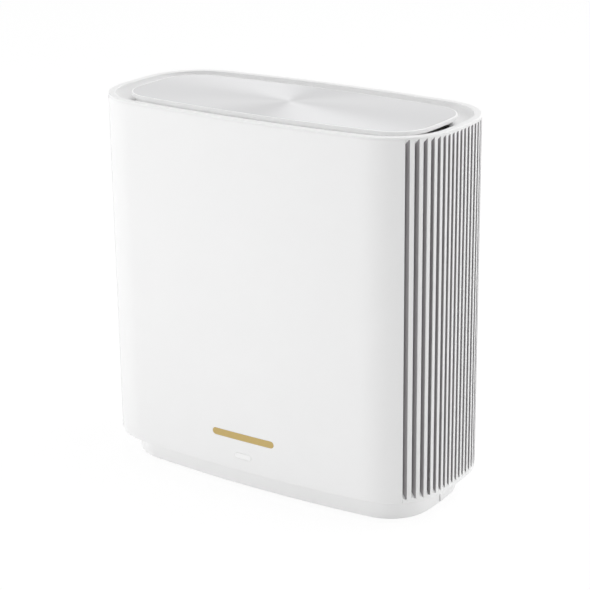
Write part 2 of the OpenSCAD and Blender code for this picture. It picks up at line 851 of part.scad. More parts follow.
module lan_sockets() {
    color(socket_black) difference() {
        block([lan_x[2] - rj_w / 2, board_rear, socket_z - rj_h / 2],
              [lan_x[0] + rj_w / 2, panel_y, socket_z + rj_h / 2]);
        for (x = lan_x) rj_cavity(x);
    }
}
module lan_contacts() { color(gold) for (x = lan_x) rj_contacts(x); }

module usb_shell() {
    color(metal) difference() {
        block([usb_x - usb_w / 2, board_rear, socket_z - usb_h / 2],
              [usb_x + usb_w / 2, panel_y + usb_proud, socket_z + usb_h / 2]);
        block([usb_x - usb_w / 2 + usb_t, board_front, socket_z - usb_h / 2 + usb_t],
              [usb_x + usb_w / 2 - usb_t, far, socket_z + usb_h / 2 - usb_t]);
    }
}

module usb_tongue() {
    color(port_blue) union() {
        block([usb_x - usb_w / 2 + usb_t, board_rear, socket_z - usb_h / 2 + usb_t],
              [usb_x + usb_w / 2 - usb_t, board_rear + usb_block, socket_z + usb_h / 2 - usb_t]);
        block([usb_x - usb_w / 2 + tongue_side, board_rear + usb_block / 2, socket_z + tongue_rise],
              [usb_x + usb_w / 2 - tongue_side, panel_y - tongue_sink,
               socket_z + tongue_rise + tongue_t]);
    }
}

module power_jack() {
    color(socket_black) difference() {
        union() {
            block([jack_x - jack_w / 2, board_rear, socket_z - jack_h / 2],
                  [jack_x + jack_w / 2, panel_y - panel_t - jack_back, socket_z + jack_h / 2]);
            translate([jack_x, 0, socket_z])
                y_rod(jack_bore_r + jack_wall - socket_gap, panel_y - jack_neck, panel_y);
        }
        translate([jack_x, 0, socket_z]) y_rod(jack_bore_r, panel_y - jack_depth, body_d);
    }
}
module jack_pin() {
    color(metal) translate([jack_x, 0, socket_z]) y_rod(pin_r, panel_y - jack_depth, panel_y - pin_sink);
}

// ---------------------------------------------------------------- buttons

flange = 0.9;
flange_t = 1.5;
plunger_r = 1.5;
switch_w = 8;
switch_h = 6;
switch_floor = 1;
power_proud = 2;
press_spare = 0.4;
// The power button's flange rests just inside the panel
power_flange_y = panel_y - panel_t - button_gap;

module power_switch() {
    color(chip_black) difference() {
        block([power_x - switch_w / 2, board_rear, socket_z - switch_w / 2],
              [power_x + switch_w / 2, board_rear + switch_h, socket_z + switch_w / 2]);
        translate([power_x, 0, socket_z])
            y_rod(plunger_r + plunger_gap, board_rear + switch_floor, panel_y);
    }
}
module power_button() {
    color(panel_grey) translate([power_x, 0, socket_z]) union() {
        y_rod(power_r, power_flange_y - flange_t / 2, panel_y + power_proud);
        y_rod(power_r + flange, power_flange_y - flange_t, power_flange_y);
    }
}
module power_plunger() {
    color(socket_black) translate([power_x, 0, socket_z])
        y_rod(plunger_r, board_rear + switch_floor + power_travel + press_spare,
              power_flange_y - flange_t);
}

small_board_t = 1.2;
screw_tip_gap = 0.6;
small_board = [26, 8];
small_switch_h = 3;
small_plunger_r = 1;
small_switch_w = 6;
small_switch_roof = 0.5;
plunger_bite = 0.9;
tip_sink = 0.3;
reset_sink = 1;
button_flange_z = floor_top + button_gap;
button_flange_t = 1;

module button_board() {
    color(board_green) difference() {
        block([-small_board[0], -small_board[1], small_board_z],
              [small_board[0], small_board[1], small_board_z + small_board_t]);
        for (s = [-1, 1]) translate([s * board_post_x, 0, 0])
            cylinder(r = screw_r + screw_fit, h = far);
    }
}
module button_board_screws() {
    for (s = [-1, 1]) translate([s * board_post_x, 0, small_board_z + small_board_t])
        screw(small_board_z + small_board_t - floor_top - screw_tip_gap);
}
module small_switch(x) {
    z0 = small_board_z - small_switch_h;
    color(chip_black) difference() {
        block([x - small_switch_w / 2, -small_switch_w / 2, z0],
              [x + small_switch_w / 2, small_switch_w / 2, small_board_z]);
        translate([x, 0, 0])
            cylinder(r = small_plunger_r + plunger_gap, h = small_board_z - small_switch_roof);
    }
}
module small_button(x, r, z_tip) {
    color(panel_grey) translate([x, 0, 0]) union() {
        translate([0, 0, z_tip])
            cylinder(r = r, h = button_flange_z + button_flange_t / 2 - z_tip);
        translate([0, 0, button_flange_z]) cylinder(r = r + flange, h = button_flange_t);
        translate([0, 0, button_flange_z]) cylinder(
            r = small_plunger_r, h = small_board_z - small_switch_h + plunger_bite - button_flange_z);
    }
}
module pair_switch() { small_switch(pair_x); }
module reset_switch() { small_switch(reset_x); }
module pair_button() { small_button(pair_x, pair_r, base_z + tip_sink); }
module reset_button() { small_button(reset_x, reset_r, base_z + reset_sink); }

// ---------------------------------------------------------------- status light

led_board_t = 1;
led_board_w = 28;
led_board_h = 9;
led_pitch = 2.6;
led_w = 1.6;

module light_pipe() {
    color("white") translate([0, 0, window_z]) union() {
        intersection() {
            round_bar(window_w, window_h, -body_d, pipe_y1);
            translate([0, 0, -window_z]) slab(0, 0, body_h);
        }
        round_bar(window_w + 2 * pipe_flange, window_h + 2 * pipe_flange,
                  -body_d / 2 + wall + seam, pipe_y1);
    }
}
module status_leds() {
    color("ivory") for (i = [-1 : 1]) translate([i * led_pitch, 0, window_z])
        block([-led_w / 2, pipe_y1 + led_gap, -led_w / 2], [led_w / 2, led_board_y0, led_w / 2]);
}
module led_board() {
    color(board_green) block([-led_board_w / 2, led_board_y0, window_z - led_board_h / 2],
                             [led_board_w / 2, led_board_y0 + led_board_t, window_z + led_board_h / 2]);
}

// ---------------------------------------------------------------- antennas

antenna_t = 0.8;
end_antenna_w = 13;
end_antenna_h = 44;
end_antenna_z = 92;
face_antenna_w = 30;
face_antenna_h = 9;
face_antenna_a = 3.6;
face_antenna_drop = 0.6;
antenna_fit = 0.1;
antenna_slit = 2;
antenna_end = 3;
face_slit_x = [3, 6];
face_slit_z = [2.5, 4];

module end_antenna() {
    x1 = body_w / 2 - frame_inset - frame_t - antenna_fit;
    color(gold) difference() {
        block([x1 - antenna_t, -end_antenna_w / 2, end_antenna_z - end_antenna_h / 2],
              [x1, end_antenna_w / 2, end_antenna_z + end_antenna_h / 2]);
        block([x1 - 2 * antenna_t, -antenna_slit / 2, end_antenna_z - end_antenna_h / 4],
              [x1 + antenna_t, antenna_slit / 2, end_antenna_z + end_antenna_h / 2 - antenna_end]);
    }
}
module face_antenna(side_x, side_y) {
    z1 = frame_z1 - face_antenna_drop;
    y1 = face_r - frame_inset - frame_t - 3 * antenna_fit;
    color(gold) mirror([0, side_y > 0 ? 0 : 1, 0]) translate(face_c) rotate(-side_x * face_antenna_a)
        difference() {
            block([-face_antenna_w / 2, y1 - antenna_t, z1 - face_antenna_h],
                  [face_antenna_w / 2, y1, z1]);
            block([-face_antenna_w / 2 + face_slit_x[0], y1 - 2 * antenna_t, z1 - face_slit_z[1]],
                  [face_antenna_w / 2 - face_slit_x[1], y1 + antenna_t, z1 - face_slit_z[0]]);
        }
}

// Leads: round tubes swept along a smooth line through hand-picked points
lead_r = 0.6;
lead_sides = 8;
lead_steps = 3;
lead_socket_r = 1.3;
lead_socket_h = 1.2;
lead_y = board_rear + lead_socket_h;

function smooth_point(a, b, c, d, t) = 0.5 * (2 * b + (c - a) * t
    + (2 * a - 5 * b + 4 * c - d) * t * t + (3 * b - a - 3 * c + d) * t * t * t);
function unit(v) = v / norm(v);

// Smooth line through the points, straight over its first and its last span
function smooth_path(p) = let (n = len(p),
        start = p[2] - 2 * norm(p[2] - p[1]) * unit(p[1] - p[0]),
        finish = p[n - 3] + 2 * norm(p[n - 2] - p[n - 3]) * unit(p[n - 1] - p[n - 2]))
    concat([p[0]],
        [for (i = [1 : n - 3]) for (k = [0 : lead_steps - 1])
            smooth_point(i == 1 ? start : p[i - 1], p[i], p[i + 1],
                         i == n - 3 ? finish : p[i + 2], k / lead_steps)],
        [p[n - 2], p[n - 1]]);

// Tube along the points; side is a direction that the line never takes
module lead(points, r, side) {
    path = smooth_path(points);
    n = len(path);
    rings = [for (i = [0 : n - 1])
        let (t = unit(path[min(i + 1, n - 1)] - path[max(i - 1, 0)]),
             u = unit(cross(t, side)),
             v = cross(t, u))
        [for (k = [0 : lead_sides - 1]) let (a = 360 * k / lead_sides)
            path[i] + r * (cos(a) * u + sin(a) * v)]];
    sides = [for (i = [0 : n - 2]) for (k = [0 : lead_sides - 1])
        let (k2 = (k + 1) % lead_sides, a = i * lead_sides, b = a + lead_sides)
        each [[a + k, b + k, b + k2], [a + k, b + k2, a + k2]]];
    start = [for (k = [0 : lead_sides - 1]) k];
    end = [for (k = [lead_sides - 1 : -1 : 0]) (n - 1) * lead_sides + k];
    polyhedron([for (g = rings) each g], concat([start, end], sides), convexity = 8);
}

// Where each lead meets the board's rear: behind the faces' antennas and at the ends
rear_lead_x = 28;
front_lead_x = 40;
lead_edge = 6;
end_lead_x = board_w / 2 - lead_edge;
lead_drop = 5;
lead_round = 4;
end_lead_y = 2;
end_lead_z = end_antenna_z - lead_round;
antenna_inner_y = body_d / 2 - frame_inset - frame_t - antenna_t;
antenna_inner_x = body_w / 2 - frame_inset - frame_t - antenna_t - antenna_fit;
lead_face_gap = 0.9;
lead_tip = 0.3;
lead_straight = 2.2;

module antenna_sockets() {
    color(gold) for (s = [-1, 1])
        for (p = [[rear_lead_x, board_z1 - lead_drop], [front_lead_x, board_z1 - lead_drop],
                  [end_lead_x, end_lead_z]])
            translate([s * p[0], 0, p[1]]) y_rod(lead_socket_r, board_rear, lead_y);
}

// End of a lead that leaves the point p along the direction d, with its clearance
function lead_end(p, d) = [p + lead_tip * d, p + lead_straight * d];
function reversed(p) = [for (i = [len(p) - 1 : -1 : 0]) p[i]];
to_rear = [0, 1, 0];
to_front = [0, -1, 0];
to_right = [1, 0, 0];
upwards = [0, 0, 1];
rise_rear = 1;
rise_front = 2;
rise_over = 4.4;
cross_x = [31, 34, 38];

module antenna_leads() {
    z = board_z1 - lead_drop;
    over = board_z1 + rise_over;
    rear_y = antenna_inner_y - lead_face_gap;
    color(ring_white) for (s = [-1, 1]) {
        lead(concat(lead_end([s * rear_lead_x, rear_y, board_z1 + rise_rear], to_front),
                    reversed(lead_end([s * rear_lead_x, lead_y, z], to_rear))), lead_r, to_right);
        lead(concat(lead_end([s * rear_lead_x, -rear_y, board_z1 + rise_front], to_rear),
                    [[s * cross_x[0], -board_front, over], [s * cross_x[1], 0, over],
                     [s * cross_x[2], board_front, over],
                     [s * front_lead_x, lead_y + lead_drop, board_z1 + rise_front]],
                    reversed(lead_end([s * front_lead_x, lead_y, z], to_rear))), lead_r, to_right);
        lead(concat(lead_end([s * antenna_inner_x, end_lead_y, end_lead_z], -s * to_right),
                    [[s * (board_w / 2 + lead_round), board_rear, end_lead_z]],
                    reversed(lead_end([s * end_lead_x, lead_y, end_lead_z], to_rear))),
             lead_r, upwards);
    }
}

// Bundles from the light's board and the button board, over the frame's bars and up
// to the main board
bundle_r = 1;
bundle_gap = 4;
bundle_end_x = [0, -8];
light_bundle_x = [9, 6, 3];
button_bundle_x = [0, -2, -6];
button_end_y = 4;
module signal_leads() {
    over = lip_top + bar_h + bundle_r + bundle_gap;
    plug_z = over + 2 * bundle_gap;
    color(ring_white) {
        lead(concat(lead_end([light_bundle_x[0], led_board_y0 + led_board_t, window_z], to_rear),
                    [[light_bundle_x[1], -board_front, over], [light_bundle_x[2], 0, plug_z]],
                    reversed(lead_end([bundle_end_x[0], board_front, plug_z], to_front))),
             bundle_r, to_right);
        lead(concat(lead_end([button_bundle_x[0], button_end_y, small_board_z + small_board_t], upwards),
                    [[button_bundle_x[0], button_end_y, lip_top + bar_h],
                     [button_bundle_x[1], button_end_y, over],
                     [button_bundle_x[2], board_front / 2, plug_z]],
                    reversed(lead_end([bundle_end_x[1], board_front, plug_z], to_front))),
             bundle_r, to_right);
    }
}

// Supply parts on the board's front, midway between the frame's bar and the heat sink
capacitor_r = 3;
capacitor_h = 7;
capacitor_x = [-50, -42, -34, 34, 42, 50];
inductor_w = 7;
inductor_h = 3.2;
inductor_x = [-24, -15, 15, 24];
supply_z = (lip_top + bar_h + sink_z - sink_h / 2) / 2;
module capacitors() {
    color(metal) for (x = capacitor_x)
        translate([x, 0, supply_z]) y_rod(capacitor_r, board_front - capacitor_h, board_front);
}
module inductors() {
    color(chip_black) for (x = inductor_x) translate([x, board_front, supply_z])
        block([-inductor_w / 2, -inductor_h, -inductor_w / 2], [inductor_w / 2, 0, inductor_w / 2]);
}

module right_end_antenna() { end_antenna(); }
module left_end_antenna() { mirror([1, 0, 0]) end_antenna(); }
module front_left_antenna() { face_antenna(-1, -1); }
module front_right_antenna() { face_antenna(1, -1); }
module rear_left_antenna() { face_antenna(-1, 1); }
module rear_right_antenna() { face_antenna(1, 1); }

front_cover();
rear_cover();
left_grille();
right_grille();
top_ring();
lid_carrier();
lid();
base_cover();
rubber_feet();
front_badge();
light_pipe();
led_board();
status_leds();
inner_frame();
main_board();
processor();
memory_chips();
radio_chips();
shield_cans();
thermal_pads();
front_heat_sink();
rear_heat_spreader();
socket_panel();
wan_socket();
wan_contacts();
lan_sockets();
lan_contacts();
usb_shell();
usb_tongue();
power_jack();
jack_pin();
power_switch();
power_button();
power_plunger();
button_board();
pair_switch();
pair_button();
reset_switch();
reset_button();
left_end_antenna();
right_end_antenna();
front_left_antenna();
front_right_antenna();
rear_left_antenna();
rear_right_antenna();
antenna_sockets();
antenna_leads();
signal_leads();
capacitors();
inductors();
board_screws();
heat_sink_screws();
base_screws();
button_board_screws();
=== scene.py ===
import json
import math

import bmesh
import bpy
import numpy as np
from mathutils import Matrix, Vector


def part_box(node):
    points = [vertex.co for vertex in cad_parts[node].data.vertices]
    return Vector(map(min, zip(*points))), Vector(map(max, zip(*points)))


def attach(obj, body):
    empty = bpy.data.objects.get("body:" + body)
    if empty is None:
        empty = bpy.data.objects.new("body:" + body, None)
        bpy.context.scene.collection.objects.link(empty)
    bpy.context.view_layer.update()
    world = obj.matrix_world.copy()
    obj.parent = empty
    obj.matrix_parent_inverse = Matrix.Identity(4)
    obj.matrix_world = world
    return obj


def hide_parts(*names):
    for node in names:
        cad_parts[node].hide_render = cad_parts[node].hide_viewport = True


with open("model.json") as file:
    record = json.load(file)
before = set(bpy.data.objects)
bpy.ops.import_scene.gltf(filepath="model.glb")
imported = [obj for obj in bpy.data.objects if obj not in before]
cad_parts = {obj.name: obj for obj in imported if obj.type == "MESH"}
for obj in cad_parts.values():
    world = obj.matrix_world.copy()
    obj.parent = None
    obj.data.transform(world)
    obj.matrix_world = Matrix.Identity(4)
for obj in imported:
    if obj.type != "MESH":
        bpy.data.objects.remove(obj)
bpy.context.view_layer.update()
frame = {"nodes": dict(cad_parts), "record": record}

MM = 0.001


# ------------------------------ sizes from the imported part

def box_mm(node):
    """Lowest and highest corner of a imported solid, in millimetres."""
    low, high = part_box(node)
    return low / MM, high / MM


COVER_LOW, _ = box_mm("front_cover")
RING_LOW, RING_HIGH = box_mm("top_ring")
LID_LOW, LID_HIGH = box_mm("lid")
BASE_LOW, BASE_HIGH = box_mm("base_cover")
_, GRILLE_HIGH = box_mm("right_grille")
PANEL_LOW, PANEL_HIGH = box_mm("socket_panel")
BADGE_LOW, BADGE_HIGH = box_mm("front_badge")
PIPE_LOW, PIPE_HIGH = box_mm("light_pipe")
_, FEET_HIGH = box_mm("rubber_feet")
MAIN_LOW, _ = box_mm("main_board")

HALF_W, HALF_D, TOP = RING_HIGH.x, RING_HIGH.y, RING_HIGH.z
SHELL_Z, GRILLE_Y = COVER_LOW.z, GRILLE_HIGH.y
CAP_H = 0.8  # rim above the seam
HAIRLINE = 0.04  # dark line in that seam
SHELL_TOP = TOP - CAP_H
COVER_TOP = SHELL_TOP - HAIRLINE
WALL, SEAM = 2.4, 0.15
COVER_Y = GRILLE_Y + SEAM  # where the covers meet the ribbed ends
LIP_NEAR, LIP_INSET = 5.0, 11.0
LIP_TOP, END_LIP_TOP = SHELL_Z + 1.8, SHELL_Z + 1.2
TOUCH = 0.02  # between faces that only seem to touch
CLEAR = 1.0  # how far a cutting shape runs past what it cuts

FACE_BULGE, END_BULGE, CORNER_R = 5.4, 4.5, 26.5
TINY = 1e-9


# ------------------------------ the plan outline

def arc_radius(half_chord, rise):
    """Radius of the arc that rises this much over its chord."""
    return half_chord ** 2 / (2 * rise) + rise / 2


FACE_R = arc_radius(HALF_W, FACE_BULGE)
END_R = arc_radius(HALF_D, END_BULGE)
FACE_C = np.array([0.0, HALF_D - FACE_R])
END_C = np.array([HALF_W - END_R, 0.0])


def corner_centre():
    """Centre of the corner arc that touches the face's arc and the end's arc."""
    reach_face, reach_end = FACE_R - CORNER_R, END_R - CORNER_R
    line = END_C - FACE_C
    gap = np.linalg.norm(line)
    line = line / gap
    along = (reach_face ** 2 - reach_end ** 2 + gap ** 2) / (2 * gap)
    across = math.sqrt(reach_face ** 2 - along ** 2)
    return FACE_C + line * along + np.array([line[1], -line[0]]) * across


CORNER_C = corner_centre()
CORNER_FROM = math.atan2(CORNER_C[1] - END_C[1], CORNER_C[0] - END_C[0])
CORNER_TO = math.atan2(CORNER_C[1] - FACE_C[1], CORNER_C[0] - FACE_C[0])
TANGENT_Y = END_R * math.sin(CORNER_FROM)
QUARTER, HALF_TURN = math.pi / 2, math.pi
HALVINGS = 50


def outline_point(angle, inset):
    """Point where the outline's normal has this angle, moved inwards by the inset."""
    c, s = abs(math.cos(angle)), abs(math.sin(angle))
    lean = math.atan2(s, c)
    if lean < CORNER_FROM:
        centre, radius = END_C, END_R
    elif lean < CORNER_TO:
        centre, radius = CORNER_C, CORNER_R
    else:
        centre, radius = FACE_C, FACE_R
    x = centre[0] + (radius - inset) * c
    y = centre[1] + (radius - inset) * s
    return math.copysign(x, math.cos(angle)), math.copysign(y, math.sin(angle))


def angle_at(y, inset):
    """Angle of the normal where the inset outline crosses this distance from the middle."""
    low, high = 0.0, QUARTER
    for _ in range(HALVINGS):
        middle = (low + high) / 2
        if outline_point(middle, inset)[1] < y:
            low = middle
        else:
            high = middle
    return (low + high) / 2


def outline_normals(points):
    """Outward normals of the outline beside an array of points."""
    x, y = np.abs(points[:, 0]) / MM, np.abs(points[:, 1]) / MM
    normals = np.zeros((len(points), 3))
    corner = np.stack([x - CORNER_C[0], y - CORNER_C[1]], 1)
    lean = np.arctan2(corner[:, 1], corner[:, 0])
    on_end, on_face = lean < CORNER_FROM, lean >= CORNER_TO
    for centre, chosen in ((END_C, on_end), (CORNER_C, ~(on_end | on_face)), (FACE_C, on_face)):
        across = np.stack([x - centre[0], y - centre[1]], 1)
        across /= np.maximum(np.linalg.norm(across, axis=1, keepdims=True), TINY)
        normals[chosen, :2] = across[chosen]
    normals[:, 0] *= np.where(points[:, 0] < 0, -1, 1)
    normals[:, 1] *= np.where(points[:, 1] < 0, -1, 1)
    return normals


def through(stops):
    """Angles that run through the stops, each given with its steps from the one before."""
    angles = [stops[0][0]]
    for (start, _), (end, steps) in zip(stops, stops[1:]):
        angles += [start + (end - start) * (k + 1) / steps for k in range(steps)]
    return angles


END_STEPS, CORNER_STEPS, FACE_STEPS = 10, 28, 18
EASE_STEPS, SMALL_STEPS, ROUND_STEPS, DISH_STEPS = 3, 6, 8, 32
HAIR = 0.01  # least gap, where two faces would coincide


def full_turn(_inset):
    """All the way round; like every run, it is asked for at an inset."""
    quarter = through([(0, 0), (CORNER_FROM, END_STEPS), (CORNER_TO, CORNER_STEPS),
                       (QUARTER, FACE_STEPS)])
    angles = []
    for turn in range(4):
        part = [a + turn * QUARTER for a in quarter] if turn % 2 == 0 else \
            [(turn + 1) * QUARTER - a for a in reversed(quarter)]
        angles += part[:-1]
    return angles


def front_run(inset):
    """From the right-hand seam round the front to the left-hand seam."""
    start = angle_at(COVER_Y, inset)
    half = through([(start, 0), (CORNER_TO, CORNER_STEPS), (QUARTER, 2 * FACE_STEPS)])
    return [-a for a in half] + [a - HALF_TURN for a in reversed(half[:-1])]


def rear_run(inset):
    """The same seams, round the rear."""
    return [-a for a in front_run(inset)]


def lip_run(start, end):
    """Between two corners, for the flat lip under the shells."""
    def run(inset):
        return through([(start, 0), (end, 2 * CORNER_STEPS)])
    return run


def end_run(reach, steps):
    """Across the right-hand end, as far from its middle as this on either side."""
    def run(inset):
        half = through([(0, 0), (CORNER_FROM, END_STEPS), (angle_at(reach, inset), steps)])
        return [-a for a in reversed(half[1:])] + half
    return run


def quarter_turn(steps):
    """Angles from 0 to a right angle in even steps."""
    return [QUARTER * k / steps for k in range(steps + 1)]


def round_out(inset, level, radius, steps):
    """Section that turns from a flat underside up into an upright wall."""
    return [(inset + radius * (1 - math.sin(a)), level + radius * (1 - math.cos(a)))
            for a in quarter_turn(steps)]


def round_in(inset, level, radius, steps):
    """Section that turns from an upright wall in to a flat top."""
    return [(inset + radius * (1 - math.cos(a)), level - radius * (1 - math.sin(a)))
            for a in quarter_turn(steps)]


# ------------------------------ mesh helpers

MERGE, SOLID_MERGE = 1e-7, 1e-6  # metres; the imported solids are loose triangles
FILLET_STEPS, ROD_SIDES, BAR_END_STEPS, BAR_FLAT_STEPS = 4, 40, 10, 14
BLUNT = 0.06  # a bar's ends stay this high
BLOCK_FACES = ((0, 1, 3, 2), (4, 6, 7, 5), (0, 4, 5, 1), (2, 3, 7, 6), (0, 2, 6, 4), (1, 5, 7, 3))
EDGE_STEPS, EDGE_FROM, SHARP_FROM = 2, math.radians(35), math.radians(50)
ON_WALL, NEAR_WALL = math.cos(math.radians(8)), math.cos(math.radians(50))


def put(name, data):
    """New object at the origin, in the scene."""
    thing = bpy.data.objects.new(name, data)
    bpy.context.collection.objects.link(thing)
    return thing


def make(name, points, faces):
    """Closed mesh from points in millimetres, with its faces turned outwards."""
    mesh = bpy.data.meshes.new(name)
    mesh.from_pydata([tuple(c * MM for c in p) for p in points], [], faces)
    piece = put(name, mesh)
    turn_outwards(piece)
    return piece


def turn_outwards(piece, merge=MERGE):
    """Merges doubles and turns the faces outwards."""
    shape = bmesh.new()
    shape.from_mesh(piece.data)
    bmesh.ops.remove_doubles(shape, verts=shape.verts, dist=merge)
    bmesh.ops.recalc_face_normals(shape, faces=shape.faces)
    shape.to_mesh(piece.data)
    shape.free()


def filleted(corners):
    """Closed section whose corners, each (inset, height, radius), are rounded."""
    points = []
    for i, (u, v, radius) in enumerate(corners):
        here = np.array([u, v], float)
        if radius == 0:
            points.append(tuple(here))
            continue
        before = np.array(corners[i - 1][:2], float) - here
        after = np.array(corners[(i + 1) % len(corners)][:2], float) - here
        before /= np.linalg.norm(before)
        after /= np.linalg.norm(after)
        half = math.acos(np.clip(before @ after, -1, 1)) / 2
        bisector = (before + after) / np.linalg.norm(before + after)
        centre = here + bisector * radius / math.sin(half)
        a = here + before * radius / math.tan(half) - centre
        b = here + after * radius / math.tan(half) - centre
        swing = math.acos(np.clip(a @ b / radius ** 2, -1, 1))
        for k in range(FILLET_STEPS + 1):
            t = k / FILLET_STEPS
            mix = (math.sin((1 - t) * swing) * a + math.sin(t * swing) * b) / math.sin(swing)
            points.append(tuple(centre + mix))
    return points


def swept(name, section, run, closed=False):
    """A closed section of (inset, height) carried along the outline."""
    rows = [[outline_point(a, inset) + (z,) for a in run(inset)] for inset, z in section]
    columns, count = len(rows[0]), len(rows)
    points = [rows[j][i] for i in range(columns) for j in range(count)]
    faces = []
    for i in range(columns if closed else columns - 1):
        n = (i + 1) % columns
        for j in range(count):
            m = (j + 1) % count
            faces.append((i * count + j, i * count + m, n * count + m, n * count + j))
    if not closed:
        faces.append(tuple(range(count)))
        faces.append(tuple((columns - 1) * count + j for j in reversed(range(count))))
    return make(name, points, faces)


def stacked(name, levels):
    """A solid through levels of (inset, height), closed by a flat face at each end."""
    rows = [[outline_point(a, inset) + (z,) for a in full_turn(inset)] for inset, z in levels]
    columns = len(rows[0])
    points = [p for row in rows for p in row]
    faces = [tuple(range(columns)), tuple((len(rows) - 1) * columns + i for i in range(columns))]
    for j in range(len(rows) - 1):
        for i in range(columns):
            n = (i + 1) % columns
            faces.append((j * columns + i, j * columns + n,
                          (j + 1) * columns + n, (j + 1) * columns + i))
    return make(name, points, faces)


def blocks(name, boxes):
    """Several rectangular blocks, each given by its two corners, as one mesh."""
    points, faces = [], []
    for low, high in boxes:
        base = len(points)
        points += [(x, y, z) for x in (low[0], high[0]) for y in (low[1], high[1])
                   for z in (low[2], high[2])]
        faces += [tuple(base + k for k in face) for face in BLOCK_FACES]
    return make(name, points, faces)


def rods(name, places):
    """Upright cylinders, each (x, y, radius, low, high), as one mesh."""
    points, faces, sides = [], [], ROD_SIDES
    for x, y, radius, low, high in places:
        base = len(points)
        for z in (low, high):
            points += [(x + radius * math.cos(2 * math.pi * k / sides),
                        y + radius * math.sin(2 * math.pi * k / sides), z) for k in range(sides)]
        faces += [tuple(base + k for k in range(sides)), tuple(base + sides + k for k in range(sides))]
        faces += [(base + k, base + (k + 1) % sides, base + sides + (k + 1) % sides, base + sides + k)
                  for k in range(sides)]
    return make(name, points, faces)


def face_bar(name, middle_z, width, height, out, deep):
    """Round-ended bar that follows the bow of the front, between two depths."""
    r = height / 2
    flat = width / 2 - r
    right = [(flat + r * math.cos(a), max(r * math.sin(a), BLUNT)) for a in quarter_turn(BAR_END_STEPS)]
    middle = [(-flat + 2 * flat * k / BAR_FLAT_STEPS, r) for k in range(1, BAR_FLAT_STEPS)]
    columns = [(-x, h) for x, h in right] + middle + right[::-1]
    points = []
    for x, h in columns:
        y_out, y_deep = (-(FACE_C[1] + math.sqrt((FACE_R - d) ** 2 - x ** 2)) for d in (out, deep))
        points += [(x, y_out, middle_z - h), (x, y_out, middle_z + h),
                   (x, y_deep, middle_z + h), (x, y_deep, middle_z - h)]
    count = len(columns)
    faces = [(0, 1, 2, 3), tuple((count - 1) * 4 + k for k in (3, 2, 1, 0))]
    for i in range(count - 1):
        for j in range(4):
            m = (j + 1) % 4
            faces.append((i * 4 + j, (i + 1) * 4 + j, (i + 1) * 4 + m, i * 4 + m))
    return make(name, points, faces)


def settle(piece):
    """Turns a piece's modifiers into plain mesh."""
    graph = bpy.context.evaluated_depsgraph_get()
    mesh = bpy.data.meshes.new_from_object(piece.evaluated_get(graph))
    piece.modifiers.clear()
    piece.data = mesh
    return piece


def cut(piece, *tools):
    """Takes the tools' shapes out of the piece."""
    for tool in tools:
        change = piece.modifiers.new("cut", "BOOLEAN")
        change.object = tool
        change.operation = "DIFFERENCE"
        change.solver = "EXACT"
    settle(piece)
    for tool in tools:
        bpy.data.objects.remove(tool)
    return piece


def joined(name, parts):
    """Several closed meshes as one piece."""
    shape = bmesh.new()
    for part in parts:
        shape.from_mesh(part.data)
        bpy.data.objects.remove(part)
    mesh = bpy.data.meshes.new(name)
    shape.to_mesh(mesh)
    shape.free()
    return put(name, mesh)


def soften(piece, width):
    """Rounds the sharp edges, then lets the broad faces rule the shading."""
    edge = piece.modifiers.new("edge", "BEVEL")
    edge.width = width * MM
    edge.segments = EDGE_STEPS
    edge.limit_method = "ANGLE"
    edge.angle_limit = EDGE_FROM
    edge.use_clamp_overlap = True
    settle(piece)
    return evened(piece)


def evened(piece):
    """Smooth shading in which the broad faces stay flat."""
    piece.data.shade_smooth()
    piece.data.set_sharp_from_angle(angle=SHARP_FROM)
    even = piece.modifiers.new("even", "WEIGHTED_NORMAL")
    even.keep_sharp = True
    return settle(piece)


def field(items, name, kind=float, width=1):
    """One field of all items of a mesh, as an array."""
    values = np.zeros(len(items) * width, kind)
    items.foreach_get(name, values)
    return values.reshape(-1, width) if width > 1 else values


def follow_outline(piece):
    """Gives walls that follow the outline its own normals, so that they shade as one curve."""
    mesh = piece.data
    co = field(mesh.vertices, "co", width=3)
    normals = field(mesh.corner_normals, "vector", width=3)
    centres = field(mesh.polygons, "center", width=3)
    facing = field(mesh.polygons, "normal", width=3)
    at_vertex = field(mesh.loops, "vertex_index", int)
    sizes = field(mesh.polygons, "loop_total", int)
    face_of = np.repeat(np.arange(len(sizes)), sizes)
    true = outline_normals(co)
    match = (facing * outline_normals(centres)).sum(1)
    side = np.sign(match)
    wall_loop = (np.abs(match) > ON_WALL)[face_of]
    normals[wall_loop] = true[at_vertex[wall_loop]] * side[face_of[wall_loop]][:, None]
    vertex_side = np.zeros(len(co))
    vertex_side[at_vertex[wall_loop]] = side[face_of[wall_loop]]
    wall_normal = true[at_vertex] * vertex_side[at_vertex][:, None]
    near = (facing[face_of] * wall_normal).sum(1) > NEAR_WALL
    blend = ~wall_loop & near & (vertex_side[at_vertex] != 0)
    normals[blend] = wall_normal[blend]
    mesh.normals_split_custom_set(normals.tolist())
    return piece


# ------------------------------ node and finish helpers

def link(tree, output, target):
    """Joins one socket to another."""
    tree.links.new(output, target)


def place(tree, kind, sockets=None, **values):
    """Adds a node with its settings; each socket takes another socket or a plain value."""
    node = tree.nodes.new(kind)
    for name, value in values.items():
        setattr(node, name, value)
    for label, value in (sockets or {}).items():
        if isinstance(value, bpy.types.NodeSocket):
            link(tree, value, node.inputs[label])
        else:
            node.inputs[label].default_value = value
    return node


def number(tree, operation, *values):
    """One sum on sockets or plain numbers."""
    return place(tree, "ShaderNodeMath", dict(enumerate(values)), operation=operation).outputs[0]


def vector(tree, x, y, z):
    """Three numbers as one place."""
    return place(tree, "ShaderNodeCombineXYZ", {"X": x, "Y": y, "Z": z}).outputs[0]


def scaled(tree, spot, factors):
    """A place with each of its numbers multiplied."""
    return place(tree, "ShaderNodeVectorMath", {0: spot, 1: factors}, operation="MULTIPLY").outputs[0]


